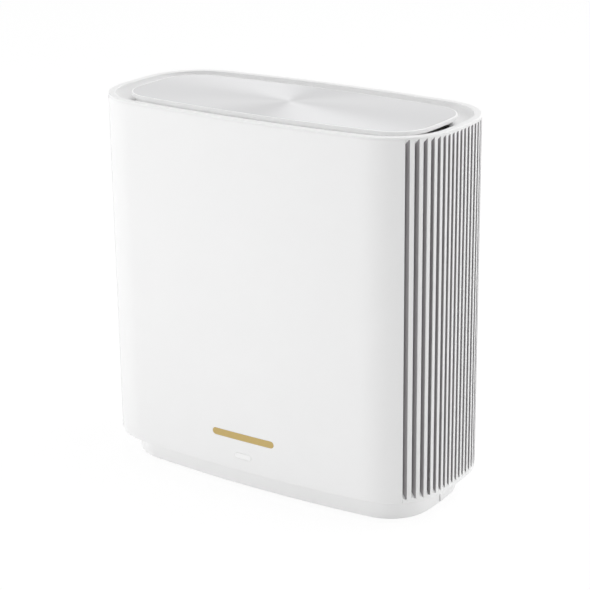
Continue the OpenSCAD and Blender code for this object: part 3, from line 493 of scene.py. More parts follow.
def noise(tree, spot, scale, detail=2.0, roughness=0.5):
    """Value from 0 to 1 that wanders over the surface."""
    sizes = {"Vector": spot, "Scale": scale, "Detail": detail, "Roughness": roughness}
    return place(tree, "ShaderNodeTexNoise", sizes, noise_dimensions="3D").outputs["Fac"]


def spread(tree, value, low, high):
    """Maps 0..1 to the range between two numbers."""
    ends = {"Value": value, "To Min": low, "To Max": high}
    return place(tree, "ShaderNodeMapRange", ends).outputs["Result"]


def tinted(tree, value, dark, light):
    """Maps 0..1 to the shades between two; sockets 6, 7 and 2 are the node's colours."""
    return place(tree, "ShaderNodeMix", {0: value, 6: dark, 7: light}, data_type="RGBA").outputs[2]


def srgb(value):
    """One sRGB channel, 0 to 255, as linear light."""
    c = value / 255
    return c / 12.92 if c <= 0.04045 else ((c + 0.055) / 1.055) ** 2.4


SKIN_GRAIN, METAL_LINES, RING_LINES = 2600.0, 1800.0, 1600.0  # cells in a metre
STREAK_LINES, SKIN_DRIFT, METAL_DRIFT = 1500.0, 35.0, 60.0
UPRIGHT, LEVEL = (1.0, 1.0, 0.02), (1.0, 1.0, 0.0)  # stretches a pattern along Z, or flattens it
PALE, WHITE = (0.95, 0.95, 0.95, 1.0), (1.0, 1.0, 1.0, 1.0)
MICRON = 1e-6


def pattern_group(name, inputs):
    """Empty shader node group with named numbers going in, and a height and a sheen out."""
    tree = bpy.data.node_groups.new(name, "ShaderNodeTree")
    for label, value in inputs.items():
        socket = tree.interface.new_socket(label, in_out="INPUT", socket_type="NodeSocketFloat")
        socket.default_value = value
    for label in ("Height", "Sheen"):
        tree.interface.new_socket(label, in_out="OUTPUT", socket_type="NodeSocketFloat")
    spot = place(tree, "ShaderNodeTexCoord").outputs["Object"]
    return tree, spot, place(tree, "NodeGroupInput").outputs, place(tree, "NodeGroupOutput").inputs


def moulded_skin():
    """Fine spark-eroded mould texture with slow sheen changes over the surface."""
    tree, spot, given, out = pattern_group("moulded_skin", {"Grain": SKIN_GRAIN, "Streak": 0.0})
    fine = noise(tree, spot, given["Grain"], detail=3.0, roughness=0.6)
    lines = noise(tree, scaled(tree, spot, UPRIGHT), STREAK_LINES)
    slow = noise(tree, spot, SKIN_DRIFT)
    link(tree, number(tree, "MULTIPLY_ADD", lines, given["Streak"], fine), out["Height"])
    link(tree, number(tree, "MULTIPLY_ADD", fine, 0.3, slow), out["Sheen"])
    return tree


def drawn_metal():
    """Lines left by rolling or drawing, along one axis of the piece."""
    tree, spot, given, out = pattern_group(
        "drawn_metal", {"Along X": 1.0, "Along Y": 1.0, "Along Z": 0.03})
    axes = vector(tree, *(given["Along " + axis] for axis in "XYZ"))
    lines = noise(tree, scaled(tree, spot, axes), METAL_LINES, detail=3.0, roughness=0.6)
    slow = number(tree, "MULTIPLY", noise(tree, spot, METAL_DRIFT), 0.4)
    link(tree, lines, out["Height"])
    link(tree, number(tree, "MULTIPLY_ADD", lines, 0.6, slow), out["Sheen"])
    return tree


SKIN = moulded_skin()
DRAWN = drawn_metal()


def new_material(name):
    """A material with its node tree and its Principled shader."""
    material = bpy.data.materials.new(name)
    material.use_nodes = True
    tree = material.node_tree
    return material, tree, tree.nodes["Principled BSDF"]


def finish(tree, shader, sheen, height, shade, vary, rough, depth):
    """Lets a pattern drive shade, roughness and a relief whose depth is in thousandths of a mm."""
    light = (*(srgb(value) for value in shade), 1.0)
    dark = tuple(c * vary for c in light[:3]) + (1.0,)
    link(tree, tinted(tree, sheen, dark, light), shader.inputs["Base Color"])
    link(tree, spread(tree, sheen, *rough), shader.inputs["Roughness"])
    relief = {"Height": height, "Strength": 1.0, "Distance": depth * MICRON}
    link(tree, place(tree, "ShaderNodeBump", relief).outputs["Normal"], shader.inputs["Normal"])


def patterned(name, group, values, *looks):
    """A material that one of the pattern groups finishes."""
    material, tree, shader = new_material(name)
    pattern = place(tree, "ShaderNodeGroup", values, node_tree=group).outputs
    finish(tree, shader, pattern["Sheen"], pattern["Height"], *looks)
    return material, shader


def plastic(name, shade, rough=(0.42, 0.5), vary=0.985, grain=SKIN_GRAIN, depth=2.0, streak=0.0):
    """Moulded plastic: its grain in bump and sheen, and a slight drift of shade."""
    return patterned(name, SKIN, {"Grain": grain, "Streak": streak}, shade, vary, rough, depth)[0]


def metal(name, shade, rough, along=(1.0, 1.0, 0.03), vary=0.93, depth=1.5):
    """Bare or plated metal with fine drawn lines."""
    stretch = {"Along " + axis: value for axis, value in zip("XYZ", along)}
    material, shader = patterned(name, DRAWN, stretch, shade, vary, rough, depth)
    shader.inputs["Metallic"].default_value = 1.0
    return material


def spun_aluminium(name, shade, rough, vary, depth):
    """Lid finish: fine rings turned round the middle, with the fans that they throw."""
    material, tree, shader = new_material(name)
    flat = scaled(tree, place(tree, "ShaderNodeTexCoord").outputs["Object"], LEVEL)
    radius = place(tree, "ShaderNodeVectorMath", {0: flat}, operation="LENGTH").outputs["Value"]
    sizes = {"W": radius, "Scale": RING_LINES, "Detail": 4.0, "Roughness": 0.7}
    rings = place(tree, "ShaderNodeTexNoise", sizes, noise_dimensions="1D").outputs["Fac"]
    finish(tree, shader, rings, rings, shade, vary, rough, depth)
    link(tree, flat, shader.inputs["Tangent"])
    shader.inputs["Metallic"].default_value = 1.0
    shader.inputs["Anisotropic"].default_value = 0.8
    return material


def glowing(name, shade, rough, vary, depth):
    """Light guide: milky, with a faint white emission that is a painted glow."""
    material, shader = patterned(name, SKIN, {}, shade, vary, rough, depth)
    # Painted glow: a faint white emission, though no lamp lights the guide.
    shader.inputs["Emission Color"].default_value = WHITE
    shader.inputs["Emission Strength"].default_value = 0.01
    return material


PLASTICS = {
    "shell_plastic": dict(shade=(240, 240, 240), streak=0.5, depth=1.5),
    "ring_plastic": dict(shade=(243, 243, 243), rough=(0.36, 0.44), depth=1.0),
    # Lighter copy of the ring's plastic for the lid's edge: the extra brightness is painted light.
    "lid_edge_painted_light": dict(shade=(250, 250, 250), rough=(0.3, 0.38), depth=0.6),
    # Grey of the inner frame; the slots' liners and bars use it too, as painted shade.
    "frame_plastic": dict(shade=(162, 159, 161), rough=(0.55, 0.65), vary=0.9),
    "foot_rubber": dict(shade=(90, 90, 92), rough=(0.7, 0.85), vary=0.85, depth=6.0, grain=1500.0),
    "circuit_board": dict(shade=(28, 84, 52), rough=(0.3, 0.45), vary=0.8),
    "led_plastic": dict(shade=(238, 232, 205), rough=(0.3, 0.4)),
    "chip_plastic": dict(shade=(38, 38, 40), rough=(0.5, 0.62), vary=0.85),
    "thermal_pad": dict(shade=(150, 162, 178), rough=(0.7, 0.8), vary=0.9),
    "panel_plastic": dict(shade=(226, 226, 227), rough=(0.45, 0.55)),
    "blue_plastic": dict(shade=(40, 92, 190), rough=(0.35, 0.45), vary=0.9),
    "black_plastic": dict(shade=(34, 34, 36), rough=(0.42, 0.55), vary=0.85),
    "button_plastic": dict(shade=(232, 232, 233), rough=(0.34, 0.42)),
    "lead_jacket": dict(shade=(60, 60, 62), rough=(0.45, 0.55), vary=0.85)}
METALS = {
    "badge_gold": dict(shade=(200, 176, 118), rough=(0.3, 0.42), along=(0.03, 1.0, 1.0)),
    "tinned_steel": dict(shade=(196, 198, 200), rough=(0.28, 0.4)),
    "sink_aluminium": dict(shade=(190, 192, 195), rough=(0.35, 0.48)),
    "contact_gold": dict(shade=(214, 178, 96), rough=(0.16, 0.26), along=(1.0, 0.03, 1.0)),
    "plated_pin": dict(shade=(208, 208, 210), rough=(0.15, 0.25), along=(1.0, 0.03, 1.0)),
    "screw_steel": dict(shade=(170, 172, 176), rough=(0.25, 0.38), along=(1.0, 1.0, 1.0)),
    "antenna_brass": dict(shade=(206, 176, 110), rough=(0.28, 0.4))}
MATERIALS = {name: plastic(name, **values) for name, values in PLASTICS.items()}
MATERIALS.update((name, metal(name, **values)) for name, values in METALS.items())
MATERIALS["spun_lid"] = spun_aluminium("spun_lid", (215, 215, 216), (0.28, 0.38), vary=0.91, depth=0.6)
MATERIALS["light_guide"] = glowing("light_guide", (246, 246, 246), (0.3, 0.4), vary=0.9455, depth=1.0)

SLOT_OF = {s["node"]: s["material_slot"] for s in frame["record"]["subparts"]}
BODY_OF = {}
for body, members in frame["record"]["behaviour"]["bodies"].items():
    BODY_OF.update(dict.fromkeys(members, body))


def hand_over(piece, slot_name, *nodes, body="housing", finish_name=None):
    """Finishes a piece: its material, picked by the slot's name, its body, and the hiding of the solids
    that it stands for.
    """
    piece.data.materials.clear()
    piece.data.materials.append(MATERIALS[finish_name or slot_name])
    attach(piece, body)
    if nodes:
        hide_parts(*nodes)


# ------------------------------ housing

COVER_FOOT_R, COVER_HEAD_R, COVER_INNER_R, LIP_R = 0.45, 0.1, 0.2, 0.3
COVER_SECTION = filleted([
    (0, SHELL_Z, COVER_FOOT_R), (0, COVER_TOP, COVER_HEAD_R), (WALL, COVER_TOP, COVER_INNER_R),
    (WALL, LIP_TOP, 0), (LIP_NEAR, LIP_TOP, 0), (LIP_NEAR, SHELL_Z, 0)])
LIP_SECTION = filleted([(LIP_NEAR, SHELL_Z, 0), (LIP_NEAR, LIP_TOP, 0),
                        (LIP_INSET, LIP_TOP, COVER_INNER_R), (LIP_INSET, SHELL_Z, LIP_R)])

BADGE_W, BADGE_H, BADGE_T = BADGE_HIGH.x - BADGE_LOW.x, BADGE_HIGH.z - BADGE_LOW.z, 0.6
WINDOW_W, WINDOW_H = 8.2, 2.4
FLANGE_W, FLANGE_H, FLANGE_IN = PIPE_HIGH.x - PIPE_LOW.x, PIPE_HIGH.z - PIPE_LOW.z, PIPE_HIGH.y + HALF_D
BADGE_Z, WINDOW_Z = (BADGE_LOW.z + BADGE_HIGH.z) / 2, (PIPE_LOW.z + PIPE_HIGH.z) / 2
BADGE_GAP, WINDOW_GAP = 0.1, 0.2  # over the whole width and height
PANEL_LAP = 1.6  # of the rear cover over the socket panel
FRONT_EDGE, REAR_EDGE, WINDOW_EDGE = 0.12, 0.25, 0.1


def front_shell():
    """Front cover, with the gold bar's pocket and the status light's opening."""
    shell = swept("front_shell", COVER_SECTION, front_run)
    cut(shell,
        face_bar("badge_pocket", BADGE_Z, BADGE_W + BADGE_GAP, BADGE_H + BADGE_GAP, -CLEAR, BADGE_T),
        face_bar("light_opening", WINDOW_Z, WINDOW_W + WINDOW_GAP, WINDOW_H + WINDOW_GAP,
                 -CLEAR, WALL + CLEAR))
    soften(shell, FRONT_EDGE)
    lip = swept("front_lip", LIP_SECTION, lip_run(-CORNER_TO, CORNER_TO - HALF_TURN))
    shell = follow_outline(joined("front_shell", [shell, lip]))
    hand_over(shell, "shell_plastic", "front_cover")


def rear_shell():
    """Rear cover, open round the socket panel."""
    shell = swept("rear_shell", COVER_SECTION, rear_run)
    side = PANEL_HIGH.x - PANEL_LAP
    cut(shell, blocks("recess", [((-side, 0, PANEL_LOW.z + PANEL_LAP),
                                  (side, HALF_D + CLEAR, PANEL_HIGH.z - PANEL_LAP))]))
    soften(shell, REAR_EDGE)
    lip = swept("rear_lip", LIP_SECTION, lip_run(CORNER_TO, HALF_TURN - CORNER_TO))
    shell = follow_outline(joined("rear_shell", [shell, lip]))
    hand_over(shell, "shell_plastic", "rear_cover")


def gold_bar():
    """Plain gold bar let into the front."""
    bar = face_bar("gold_bar", BADGE_Z, BADGE_W, BADGE_H, 0, BADGE_T)
    hand_over(soften(bar, FRONT_EDGE), "badge_gold", "front_badge")


def light_window():
    """Status light's window, with the flange that holds it behind the wall."""
    window = soften(face_bar("light_window", WINDOW_Z, WINDOW_W, WINDOW_H, 0, WALL + SEAM), WINDOW_EDGE)
    flange = face_bar("window_flange", WINDOW_Z, FLANGE_W, FLANGE_H, WALL + 2 * SEAM, FLANGE_IN)
    hand_over(evened(joined("light_window", [window, flange])), "light_guide", "light_pipe")


# ------------------------------ rows made by node trees

def row_tree(name, sizes):
    """Empty tree for a row of copies, with named inputs for its count and its sizes."""
    tree = bpy.data.node_groups.new(name, "GeometryNodeTree")
    inputs = [("Geometry", "Geometry"), ("Count", "Int")] + [(size, "Float") for size in sizes]
    for label, kind in inputs + [("Material", "Material")]:
        tree.interface.new_socket(label, in_out="INPUT", socket_type="NodeSocket" + kind)
    tree.interface.new_socket("Geometry", in_out="OUTPUT", socket_type="NodeSocketGeometry")
    return tree, place(tree, "NodeGroupInput").outputs, place(tree, "NodeGroupOutput")


def centred_line(tree, given, axis):
    """Points at the row's pitch along one axis, as many on either side of the middle."""
    spare = number(tree, "SUBTRACT", given["Count"], 1.0)
    half = number(tree, "MULTIPLY", number(tree, "MULTIPLY", spare, given["Pitch"]), -0.5)
    start, step = (vector(tree, *(value if letter == axis else 0.0 for letter in "XYZ"))
                   for value in (half, given["Pitch"]))
    sizes = {"Count": given["Count"], "Start Location": start, "Offset": step}
    return place(tree, "GeometryNodeMeshLine", sizes, mode="OFFSET").outputs["Mesh"]


def moved(tree, geometry, to):
    """Puts the points of a mesh somewhere else."""
    places = {"Geometry": geometry, "Position": to}
    return place(tree, "GeometryNodeSetPosition", places).outputs["Geometry"]


def copied(tree, points, piece):
    """One copy of the piece at each point."""
    row = {"Points": points, "Instance": piece}
    return place(tree, "GeometryNodeInstanceOnPoints", row).outputs["Instances"]


def ended(tree, geometry, given, out):
    """Ends a tree with real mesh and its material."""
    whole = place(tree, "GeometryNodeRealizeInstances", {"Geometry": geometry}).outputs["Geometry"]
    paint = {"Geometry": whole, "Material": given["Material"]}
    link(tree, place(tree, "GeometryNodeSetMaterial", paint).outputs["Geometry"], out.inputs["Geometry"])
    return tree


def choose(tree, switch, when_off, when_on):
    """One number or the other, by a switch of 0 or 1."""
    change = number(tree, "SUBTRACT", when_on, when_off)
    return number(tree, "MULTIPLY_ADD", change, switch, when_off)


def position(tree):
    """The three numbers of each point's place."""
    spot = place(tree, "GeometryNodeInputPosition").outputs[0]
    return place(tree, "ShaderNodeSeparateXYZ", {0: spot}).outputs


def arc_x(tree, centre_x, radius, offset):
    """How far out an arc lies, this far to the side of its centre."""
    inside = number(tree, "SUBTRACT", number(tree, "POWER", radius, 2.0),
                    number(tree, "POWER", offset, 2.0))
    return number(tree, "ADD", centre_x, number(tree, "SQRT", inside))


def spaced_row_tree():
    """Copies of a piece in a straight row about its own place."""
    tree, given, out = row_tree("spaced_row", ("Pitch",))
    return ended(tree, copied(tree, centred_line(tree, given, "X"), given["Geometry"]), given, out)


ROW_SIZES = ("Pitch", "Width", "Inner", "Outer", "Low", "Low slope", "High", "High slope",
             "End radius", "End centre", "Corner radius", "Corner centre X", "Corner centre Y",
             "Tangent Y")


def slanted_row_tree():
    """A row of slanted blocks along Y, each one set on the end's outline."""
    tree, given, out = row_tree("slanted_row", ROW_SIZES)
    at = position(tree)
    away = number(tree, "ABSOLUTE", at["Y"])
    on_end = arc_x(tree, given["End centre"], given["End radius"], away)
    past = number(tree, "SUBTRACT", away, given["Corner centre Y"])
    on_corner = arc_x(tree, given["Corner centre X"], given["Corner radius"], past)
    beyond = number(tree, "GREATER_THAN", away, given["Tangent Y"])
    on_outline = vector(tree, choose(tree, beyond, on_end, on_corner), at["Y"], 0.0)
    points = moved(tree, centred_line(tree, given, "Y"), on_outline)

    spot = position(tree)
    x = choose(tree, number(tree, "GREATER_THAN", spot["X"], 0.0), given["Inner"], given["Outer"])
    y = number(tree, "MULTIPLY", spot["Y"], given["Width"])
    low = number(tree, "MULTIPLY_ADD", x, given["Low slope"], given["Low"])
    high = number(tree, "MULTIPLY_ADD", x, given["High slope"], given["High"])
    z = choose(tree, number(tree, "GREATER_THAN", spot["Z"], 0.0), low, high)
    block = moved(tree, place(tree, "GeometryNodeMeshCube").outputs["Mesh"], vector(tree, x, y, z))
    return ended(tree, copied(tree, points, block), given, out)


def slotted_end_tree():
    """Takes such a row out of a piece: upright slots with sloping ends."""
    tree, given, out = row_tree("slotted_end", ROW_SIZES)
    sizes = {label: given[label] for label in ("Count", "Material") + ROW_SIZES}
    tools = place(tree, "GeometryNodeGroup", sizes, node_tree=SLANTED_ROW).outputs["Geometry"]
    both = {"Mesh 1": given["Geometry"], "Mesh 2": tools}
    carve = place(tree, "GeometryNodeMeshBoolean", both, operation="DIFFERENCE", solver="EXACT")
    return ended(tree, carve.outputs["Mesh"], given, out)


def with_tree(piece, tree, values):
    """Runs a node tree on a piece and keeps the result as plain mesh."""
    change = piece.modifiers.new(tree.name, "NODES")
    change.node_group = tree
    for item in tree.interface.items_tree:
        if item.item_type == "SOCKET" and item.in_out == "INPUT" and item.name in values:
            change[item.identifier] = values[item.name]
    return settle(piece)


SPACED_ROW = spaced_row_tree()
SLANTED_ROW = slanted_row_tree()
SLOTTED_END = slotted_end_tree()


# ------------------------------ ribbed ends

SLOTS, PITCH, SLOT_W = 20, 2.9, 1.7
SLOT_Z0, SLOT_Z1 = SHELL_Z + 1.65, TOP - 1.3
LOW_SLOPE, HIGH_SLOPE = 1.3, 1.15  # of the slots' ends, rise over depth
REACH = 3 * WALL  # of a slot's shape, in and out from the outline
SKIN_T, RAMP_T = 0.25, 0.35  # the white skin, and the ramps behind it
LINED_Z0, LINED_Z1 = SLOT_Z0 - 0.1, SLOT_Z1 + 0.15
SKIN_EDGE, SHADE_LINER_EDGE = 0.08, 0.04
BARS, BAR_H, BAR_T = 3, 2.6, 1.4
END_SECTION = filleted([
    (0, SHELL_Z, COVER_FOOT_R), (0, COVER_TOP, COVER_HEAD_R), (WALL, COVER_TOP, COVER_HEAD_R),
    (WALL, LINED_Z1, 0), (SKIN_T, LINED_Z1, 0), (SKIN_T, LINED_Z0, 0), (WALL, LINED_Z0, 0),
    (WALL, END_LIP_TOP, 0), (LIP_NEAR, END_LIP_TOP, 0), (LIP_NEAR, SHELL_Z, 0)])
# Grey liner behind the skin: its grey is painted shade for the deep inside of the slots.
SHADE_LINER_SECTION = [(SKIN_T + TOUCH, LINED_Z0 + TOUCH), (SKIN_T + TOUCH, LINED_Z1 - TOUCH),
                 (WALL, LINED_Z1 - TOUCH), (WALL, LINED_Z0 + TOUCH)]
ON_OUTLINE = {
    "Count": SLOTS, "Pitch": PITCH * MM, "End radius": END_R * MM, "End centre": END_C[0] * MM,
    "Corner radius": CORNER_R * MM, "Corner centre X": CORNER_C[0] * MM,
    "Corner centre Y": CORNER_C[1] * MM, "Tangent Y": TANGENT_Y * MM}


def slot_sizes(finish_name, longer):
    """Slots that widen outwards; a longer slot leaves room for the ramps at its ends."""
    return {**ON_OUTLINE, "Width": SLOT_W * MM, "Inner": -REACH * MM, "Outer": REACH * MM,
            "Low": (SLOT_Z0 - longer) * MM, "Low slope": -LOW_SLOPE,
            "High": (SLOT_Z1 + longer) * MM, "High slope": HIGH_SLOPE,
            "Material": MATERIALS[finish_name]}


def ramp_sizes(level, slope, thick):
    """Thin ramps that close the slots' ends behind the skin."""
    return {**ON_OUTLINE, "Width": (SLOT_W - TOUCH) * MM, "Inner": -WALL * MM,
            "Outer": -(SKIN_T + TOUCH) * MM, "Low": min(level, level + thick) * MM,
            "High": max(level, level + thick) * MM, "Low slope": slope, "High slope": slope,
            "Material": MATERIALS["shell_plastic"]}


def slotted(name, section, finish_name, edge, longer=0.0):
    """A wall across the right-hand end with the row of slots cut through it."""
    end = swept(name, section, end_run(GRILLE_Y - HAIR, CORNER_STEPS))
    with_tree(end, SLOTTED_END, slot_sizes(finish_name, longer))
    return soften(end, edge)


def ramps(name, level, slope, thick):
    """One row of ramps, at the slots' lower or upper ends."""
    row = put(name, bpy.data.meshes.new(name))
    with_tree(row, SLANTED_ROW, ramp_sizes(level, slope, thick))
    turn_outwards(row)
    return row


def crossbars():
    """Level bars behind the ribs that tie them together."""
    short_run = end_run(GRILLE_Y - SLOT_W, CORNER_STEPS // 2)
    step = (SLOT_Z1 - SLOT_Z0) / (BARS + 1)
    bars = []
    for k in range(1, BARS + 1):
        low, high = SLOT_Z0 + k * step - BAR_H / 2, SLOT_Z0 + k * step + BAR_H / 2
        bars.append(swept("bar", [(WALL + TOUCH, low), (WALL + TOUCH, high),
                                  (WALL + BAR_T, high), (WALL + BAR_T, low)], short_run))
    return bars


def mirrored(piece, name):
    """The same piece for the other end."""
    mesh = piece.data.copy()
    mesh.transform(Matrix.Diagonal((-1, 1, 1, 1)))
    twin = put(name, mesh)
    turn_outwards(twin)
    return twin


def ribbed_ends():
    """White ribbed skins over grey liners and bars whose grey is painted shade deep in the slots, made
    at the right and mirrored to the left.
    """
    skin = joined("right_ribs", [
        slotted("ribs", END_SECTION, "shell_plastic", SKIN_EDGE),
        ramps("low_ramps", SLOT_Z0, -LOW_SLOPE, -RAMP_T),
        ramps("high_ramps", SLOT_Z1, HIGH_SLOPE, RAMP_T),
        swept("end_lip", LIP_SECTION, lip_run(-CORNER_TO, CORNER_TO))])
    # The liner and its bars are grey as painted shade, darkening the slots beyond the white skin.
    shade_liner = joined("right_shade_liner", [
        slotted("shade_liner", SHADE_LINER_SECTION, "frame_plastic", SHADE_LINER_EDGE, RAMP_T + TOUCH)] + crossbars())
    left_skin, left_shade_liner = mirrored(skin, "left_ribs"), mirrored(shade_liner, "left_shade_liner")
    for ribs, shade_backing, node in ((skin, shade_liner, "right_grille"), (left_skin, left_shade_liner, "left_grille")):
        hand_over(follow_outline(evened(ribs)), "shell_plastic", node)
        # The grey backing's finish is painted shade for the deep inside of the slots.
        hand_over(follow_outline(evened(shade_backing)), "frame_plastic")


# ------------------------------ rim, dish and lid

RIM_W, RIM_R, RIM_SOFT, EASE = 3.0, 0.5, 0.4, 0.08
DISH_INSET, DISH_Z, DISH_T = 12.4, TOP - 4.8, 1.6
SKIRT_W, RING_LIP = 1.5, 1.2  # below the dish, and inside the covers
LID_INSET = HALF_W - LID_HIGH.x
LID_LOW_R, LID_TOP_R, LID_FLAT, LID_REACH = 0.6, 0.4, 0.1, 1.3
DISC_INSET, DISC_SINK = LID_INSET + LID_TOP_R + LID_FLAT, 0.06
DISC_LOW, DISC_HIGH = LID_HIGH.z - DISC_SINK + HAIR, LID_HIGH.z - TOUCH
LEDGE_FACE, LEDGE_BACK = LID_INSET + 0.8, DISH_INSET + 1.7
LEDGE_END = math.radians(26)  # short of the middle of each end


def rim_and_dish():
    """Level rim whose inside falls away in a long curve under the lid."""
    section = round_out(0, SHELL_TOP, EASE, EASE_STEPS) + round_in(0, TOP, RIM_R, ROUND_STEPS)
    section += [(RIM_W - RIM_SOFT * (1 - math.sin(a)), TOP - RIM_SOFT * (1 - math.cos(a)))
                for a in quarter_turn(ROUND_STEPS)[:-1]]
    section += [(RIM_W + (DISH_INSET - RIM_W) * (1 - math.cos(a)),
                 TOP - RIM_SOFT - (TOP - RIM_SOFT - DISH_Z) * math.sin(a))
                for a in quarter_turn(DISH_STEPS)]
    section += [(DISH_INSET, RING_LOW.z), (DISH_INSET - SKIRT_W, RING_LOW.z),
                (DISH_INSET - SKIRT_W, DISH_Z - DISH_T), (RIM_W + DISH_T, DISH_Z - DISH_T / 2),
                (WALL + SEAM, SHELL_TOP - RING_LIP), (WALL + SEAM, SHELL_TOP)]
    ring = swept("rim_and_dish", section, full_turn, closed=True)
    hand_over(evened(ring), "ring_plastic", "top_ring")


def lengthened(piece):
    """The lid reaches a little further at the two ends than at the front and the rear."""
    piece.data.transform(Matrix.Scale(1 + LID_REACH / LID_HIGH.x, 4, (1, 0, 0)))
    return piece


def lid_tray():
    """White tray of the lid, with a shallow seat for the disc; its finish is a lighter copy of the
    ring's plastic, painted light on the edge.
    """
    levels = round_out(LID_INSET, LID_LOW.z, LID_LOW_R, ROUND_STEPS)
    levels += round_in(LID_INSET, LID_HIGH.z, LID_TOP_R, SMALL_STEPS)
    levels += [(DISC_INSET, LID_HIGH.z), (DISC_INSET + DISC_SINK, LID_HIGH.z - DISC_SINK)]
    tray = lengthened(evened(stacked("lid_tray", levels)))
    hand_over(tray, "ring_plastic", "lid", finish_name="lid_edge_painted_light")


def spun_disc():
    """Turned metal disc let into the tray."""
    disc = stacked("spun_disc", [(DISC_INSET + 2 * DISC_SINK, DISC_LOW),
                                 (DISC_INSET + 2 * DISC_SINK, DISC_HIGH),
                                 (DISC_INSET + 3 * DISC_SINK, LID_HIGH.z)])
    hand_over(lengthened(disc), "spun_lid")


def lid_ledges():
    """Ledges that close the gap under the lid, all but at the middle of its ends."""
    section = [(LEDGE_FACE, DISH_Z - TOUCH), (LEDGE_FACE, LID_LOW.z - TOUCH),
               (LEDGE_BACK, LID_LOW.z - TOUCH), (LEDGE_BACK, DISH_Z - TOUCH)]
    ledges = []
    for middle in (-QUARTER, QUARTER):
        run = lip_run(middle - QUARTER + LEDGE_END, middle + QUARTER - LEDGE_END)
        ledges.append(swept("ledge", section, run))
    hand_over(evened(joined("lid_ledges", ledges)), "ring_plastic")


# ------------------------------ plinth

BASE_Z, BASE_INSET, BASE_R = BASE_LOW.z, HALF_W - BASE_HIGH.x, 0.9
SKIRT_T, FLOOR_T, BASE_EDGE = 2.2, 2.4, 0.1
FLOOR_TOP = BASE_Z + FLOOR_T
POST_X, POST_Y = 58.0, MAIN_LOW.y - 3.0
FOOT_R, FOOT_GAP, FOOT_SINK = 5.5, 0.1, 0.6
FOOT_X, FOOT_Y = FEET_HIGH.x - FOOT_R, FEET_HIGH.y - FOOT_R
PAIR_X, PAIR_R = 12.0, 3.2
RESET_X, RESET_R = -12.0, 0.9
BUTTON_GAP = 0.3
SCREW_R, SCREW_HEAD_R, SINK_H = 1.5, 3.0, 2.2
INTAKES, INTAKE_PITCH, INTAKE_W, INTAKE_L, INTAKE_Y = 9, 5.0, 2.4, 12.0, 16.0
INTAKE_TOP = SHELL_Z - 1.0  # of the cutting shape, over the plinth's floor
NOTCH_W, NOTCH_TOP_W, NOTCH_H, NOTCH_DEEP = 1.8, 0.5, 4.6, 1.5


def at_corners(x, y):
    """The four places that mirror one another about the middle."""
    return [(sx * x, sy * y) for sx in (-1, 1) for sy in (-1, 1)]


def pry_notches():
    """Narrow clefts at the middle of both ends, wider at the foot of the plinth."""
    profile = [(-NOTCH_W / 2, 0), (NOTCH_W / 2, 0), (NOTCH_W / 2, BASE_Z),
               (NOTCH_TOP_W / 2, BASE_Z + NOTCH_H), (-NOTCH_TOP_W / 2, BASE_Z + NOTCH_H),
               (-NOTCH_W / 2, BASE_Z)]
    count = len(profile)
    tools = []
    for side in (-1, 1):
        middle = side * (HALF_W - BASE_INSET)
        points = [(middle + dx, y, z) for dx in (-NOTCH_DEEP, NOTCH_DEEP) for y, z in profile]
        faces = [tuple(range(count)), tuple(count + k for k in range(count))]
        faces += [(k, (k + 1) % count, count + (k + 1) % count, count + k) for k in range(count)]
        tools.append(make("notch", points, faces))
    return tools


def intakes(side):
    """Row of air intakes along one side of the plinth's floor."""
    near, far = side * INTAKE_Y - INTAKE_L / 2, side * INTAKE_Y + INTAKE_L / 2
    slot = blocks("intake", [((-INTAKE_W / 2, near, 0), (INTAKE_W / 2, far, INTAKE_TOP))])
    return with_tree(slot, SPACED_ROW, {
        "Count": INTAKES, "Pitch": INTAKE_PITCH * MM, "Material": MATERIALS["shell_plastic"]})


def plinth():
    """Set-back plinth with the feet's seats, the screws' bores and the air intakes."""
    levels = round_out(BASE_INSET, BASE_Z, BASE_R, SMALL_STEPS)
    levels += [(BASE_INSET, SHELL_Z - TOUCH), (BASE_INSET + SKIRT_T, SHELL_Z - TOUCH),
               (BASE_INSET + SKIRT_T, FLOOR_TOP)]
    base = stacked("plinth", levels)
    seats = [(x, y, FOOT_R + FOOT_GAP, 0, BASE_Z + FOOT_SINK) for x, y in at_corners(FOOT_X, FOOT_Y)]
    seats += [(x, y, SCREW_HEAD_R, 0, BASE_Z + SINK_H) for x, y in at_corners(POST_X, POST_Y)]
    bores = [(x, y, SCREW_R, 0, SHELL_Z) for x, y in at_corners(POST_X, POST_Y)]
    bores += [(x, 0, radius + BUTTON_GAP, 0, SHELL_Z)
              for x, radius in ((PAIR_X, PAIR_R), (RESET_X, RESET_R))]
    cut(base, rods("seats", seats), rods("bores", bores), *pry_notches())
    for side in (-1, 1):
        cut(base, intakes(side))
    hand_over(follow_outline(soften(base, BASE_EDGE)), "shell_plastic", "base_cover")


# ------------------------------ softened and plain solids

def softened(name, width):
    """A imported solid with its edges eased; it stands for that solid."""
    source = frame["nodes"][name]
    mesh = source.data.copy()
    mesh.transform(source.matrix_world)
    mesh.materials.clear()
    piece = put(name + "_piece", mesh)
    turn_outwards(piece, SOLID_MERGE)
    soften(piece, width)
    hand_over(piece, SLOT_OF[name], name, body=BODY_OF[name])


EASED = {
    "rubber_feet": 0.5, "socket_panel": 0.3, "wan_socket": 0.15, "lan_sockets": 0.15,
    "usb_shell": 0.12, "usb_tongue": 0.15, "power_jack": 0.15, "jack_pin": 0.4,
    "lid_carrier": 0.2, "power_button": 0.35, "pair_button": 0.3, "reset_button": 0.15,
    "base_screws": 0.12}


def colour_the_rest():
    """Gives the solids that no piece stands for their materials."""
    for name, node in frame["nodes"].items():
        if not node.hide_render:
            node.data.materials.clear()
            node.data.materials.append(MATERIALS[SLOT_OF[name]])


# ------------------------------ floor and room

FLOOR_SIDE = 4000  # from the middle, in millimetres
FLOOR_ROUGH, GLOW, GLOW_SHARE = 0.9, 1.03, 0.9
ROOM_LIGHT = 0.4  # on the object; the room itself shows as 1


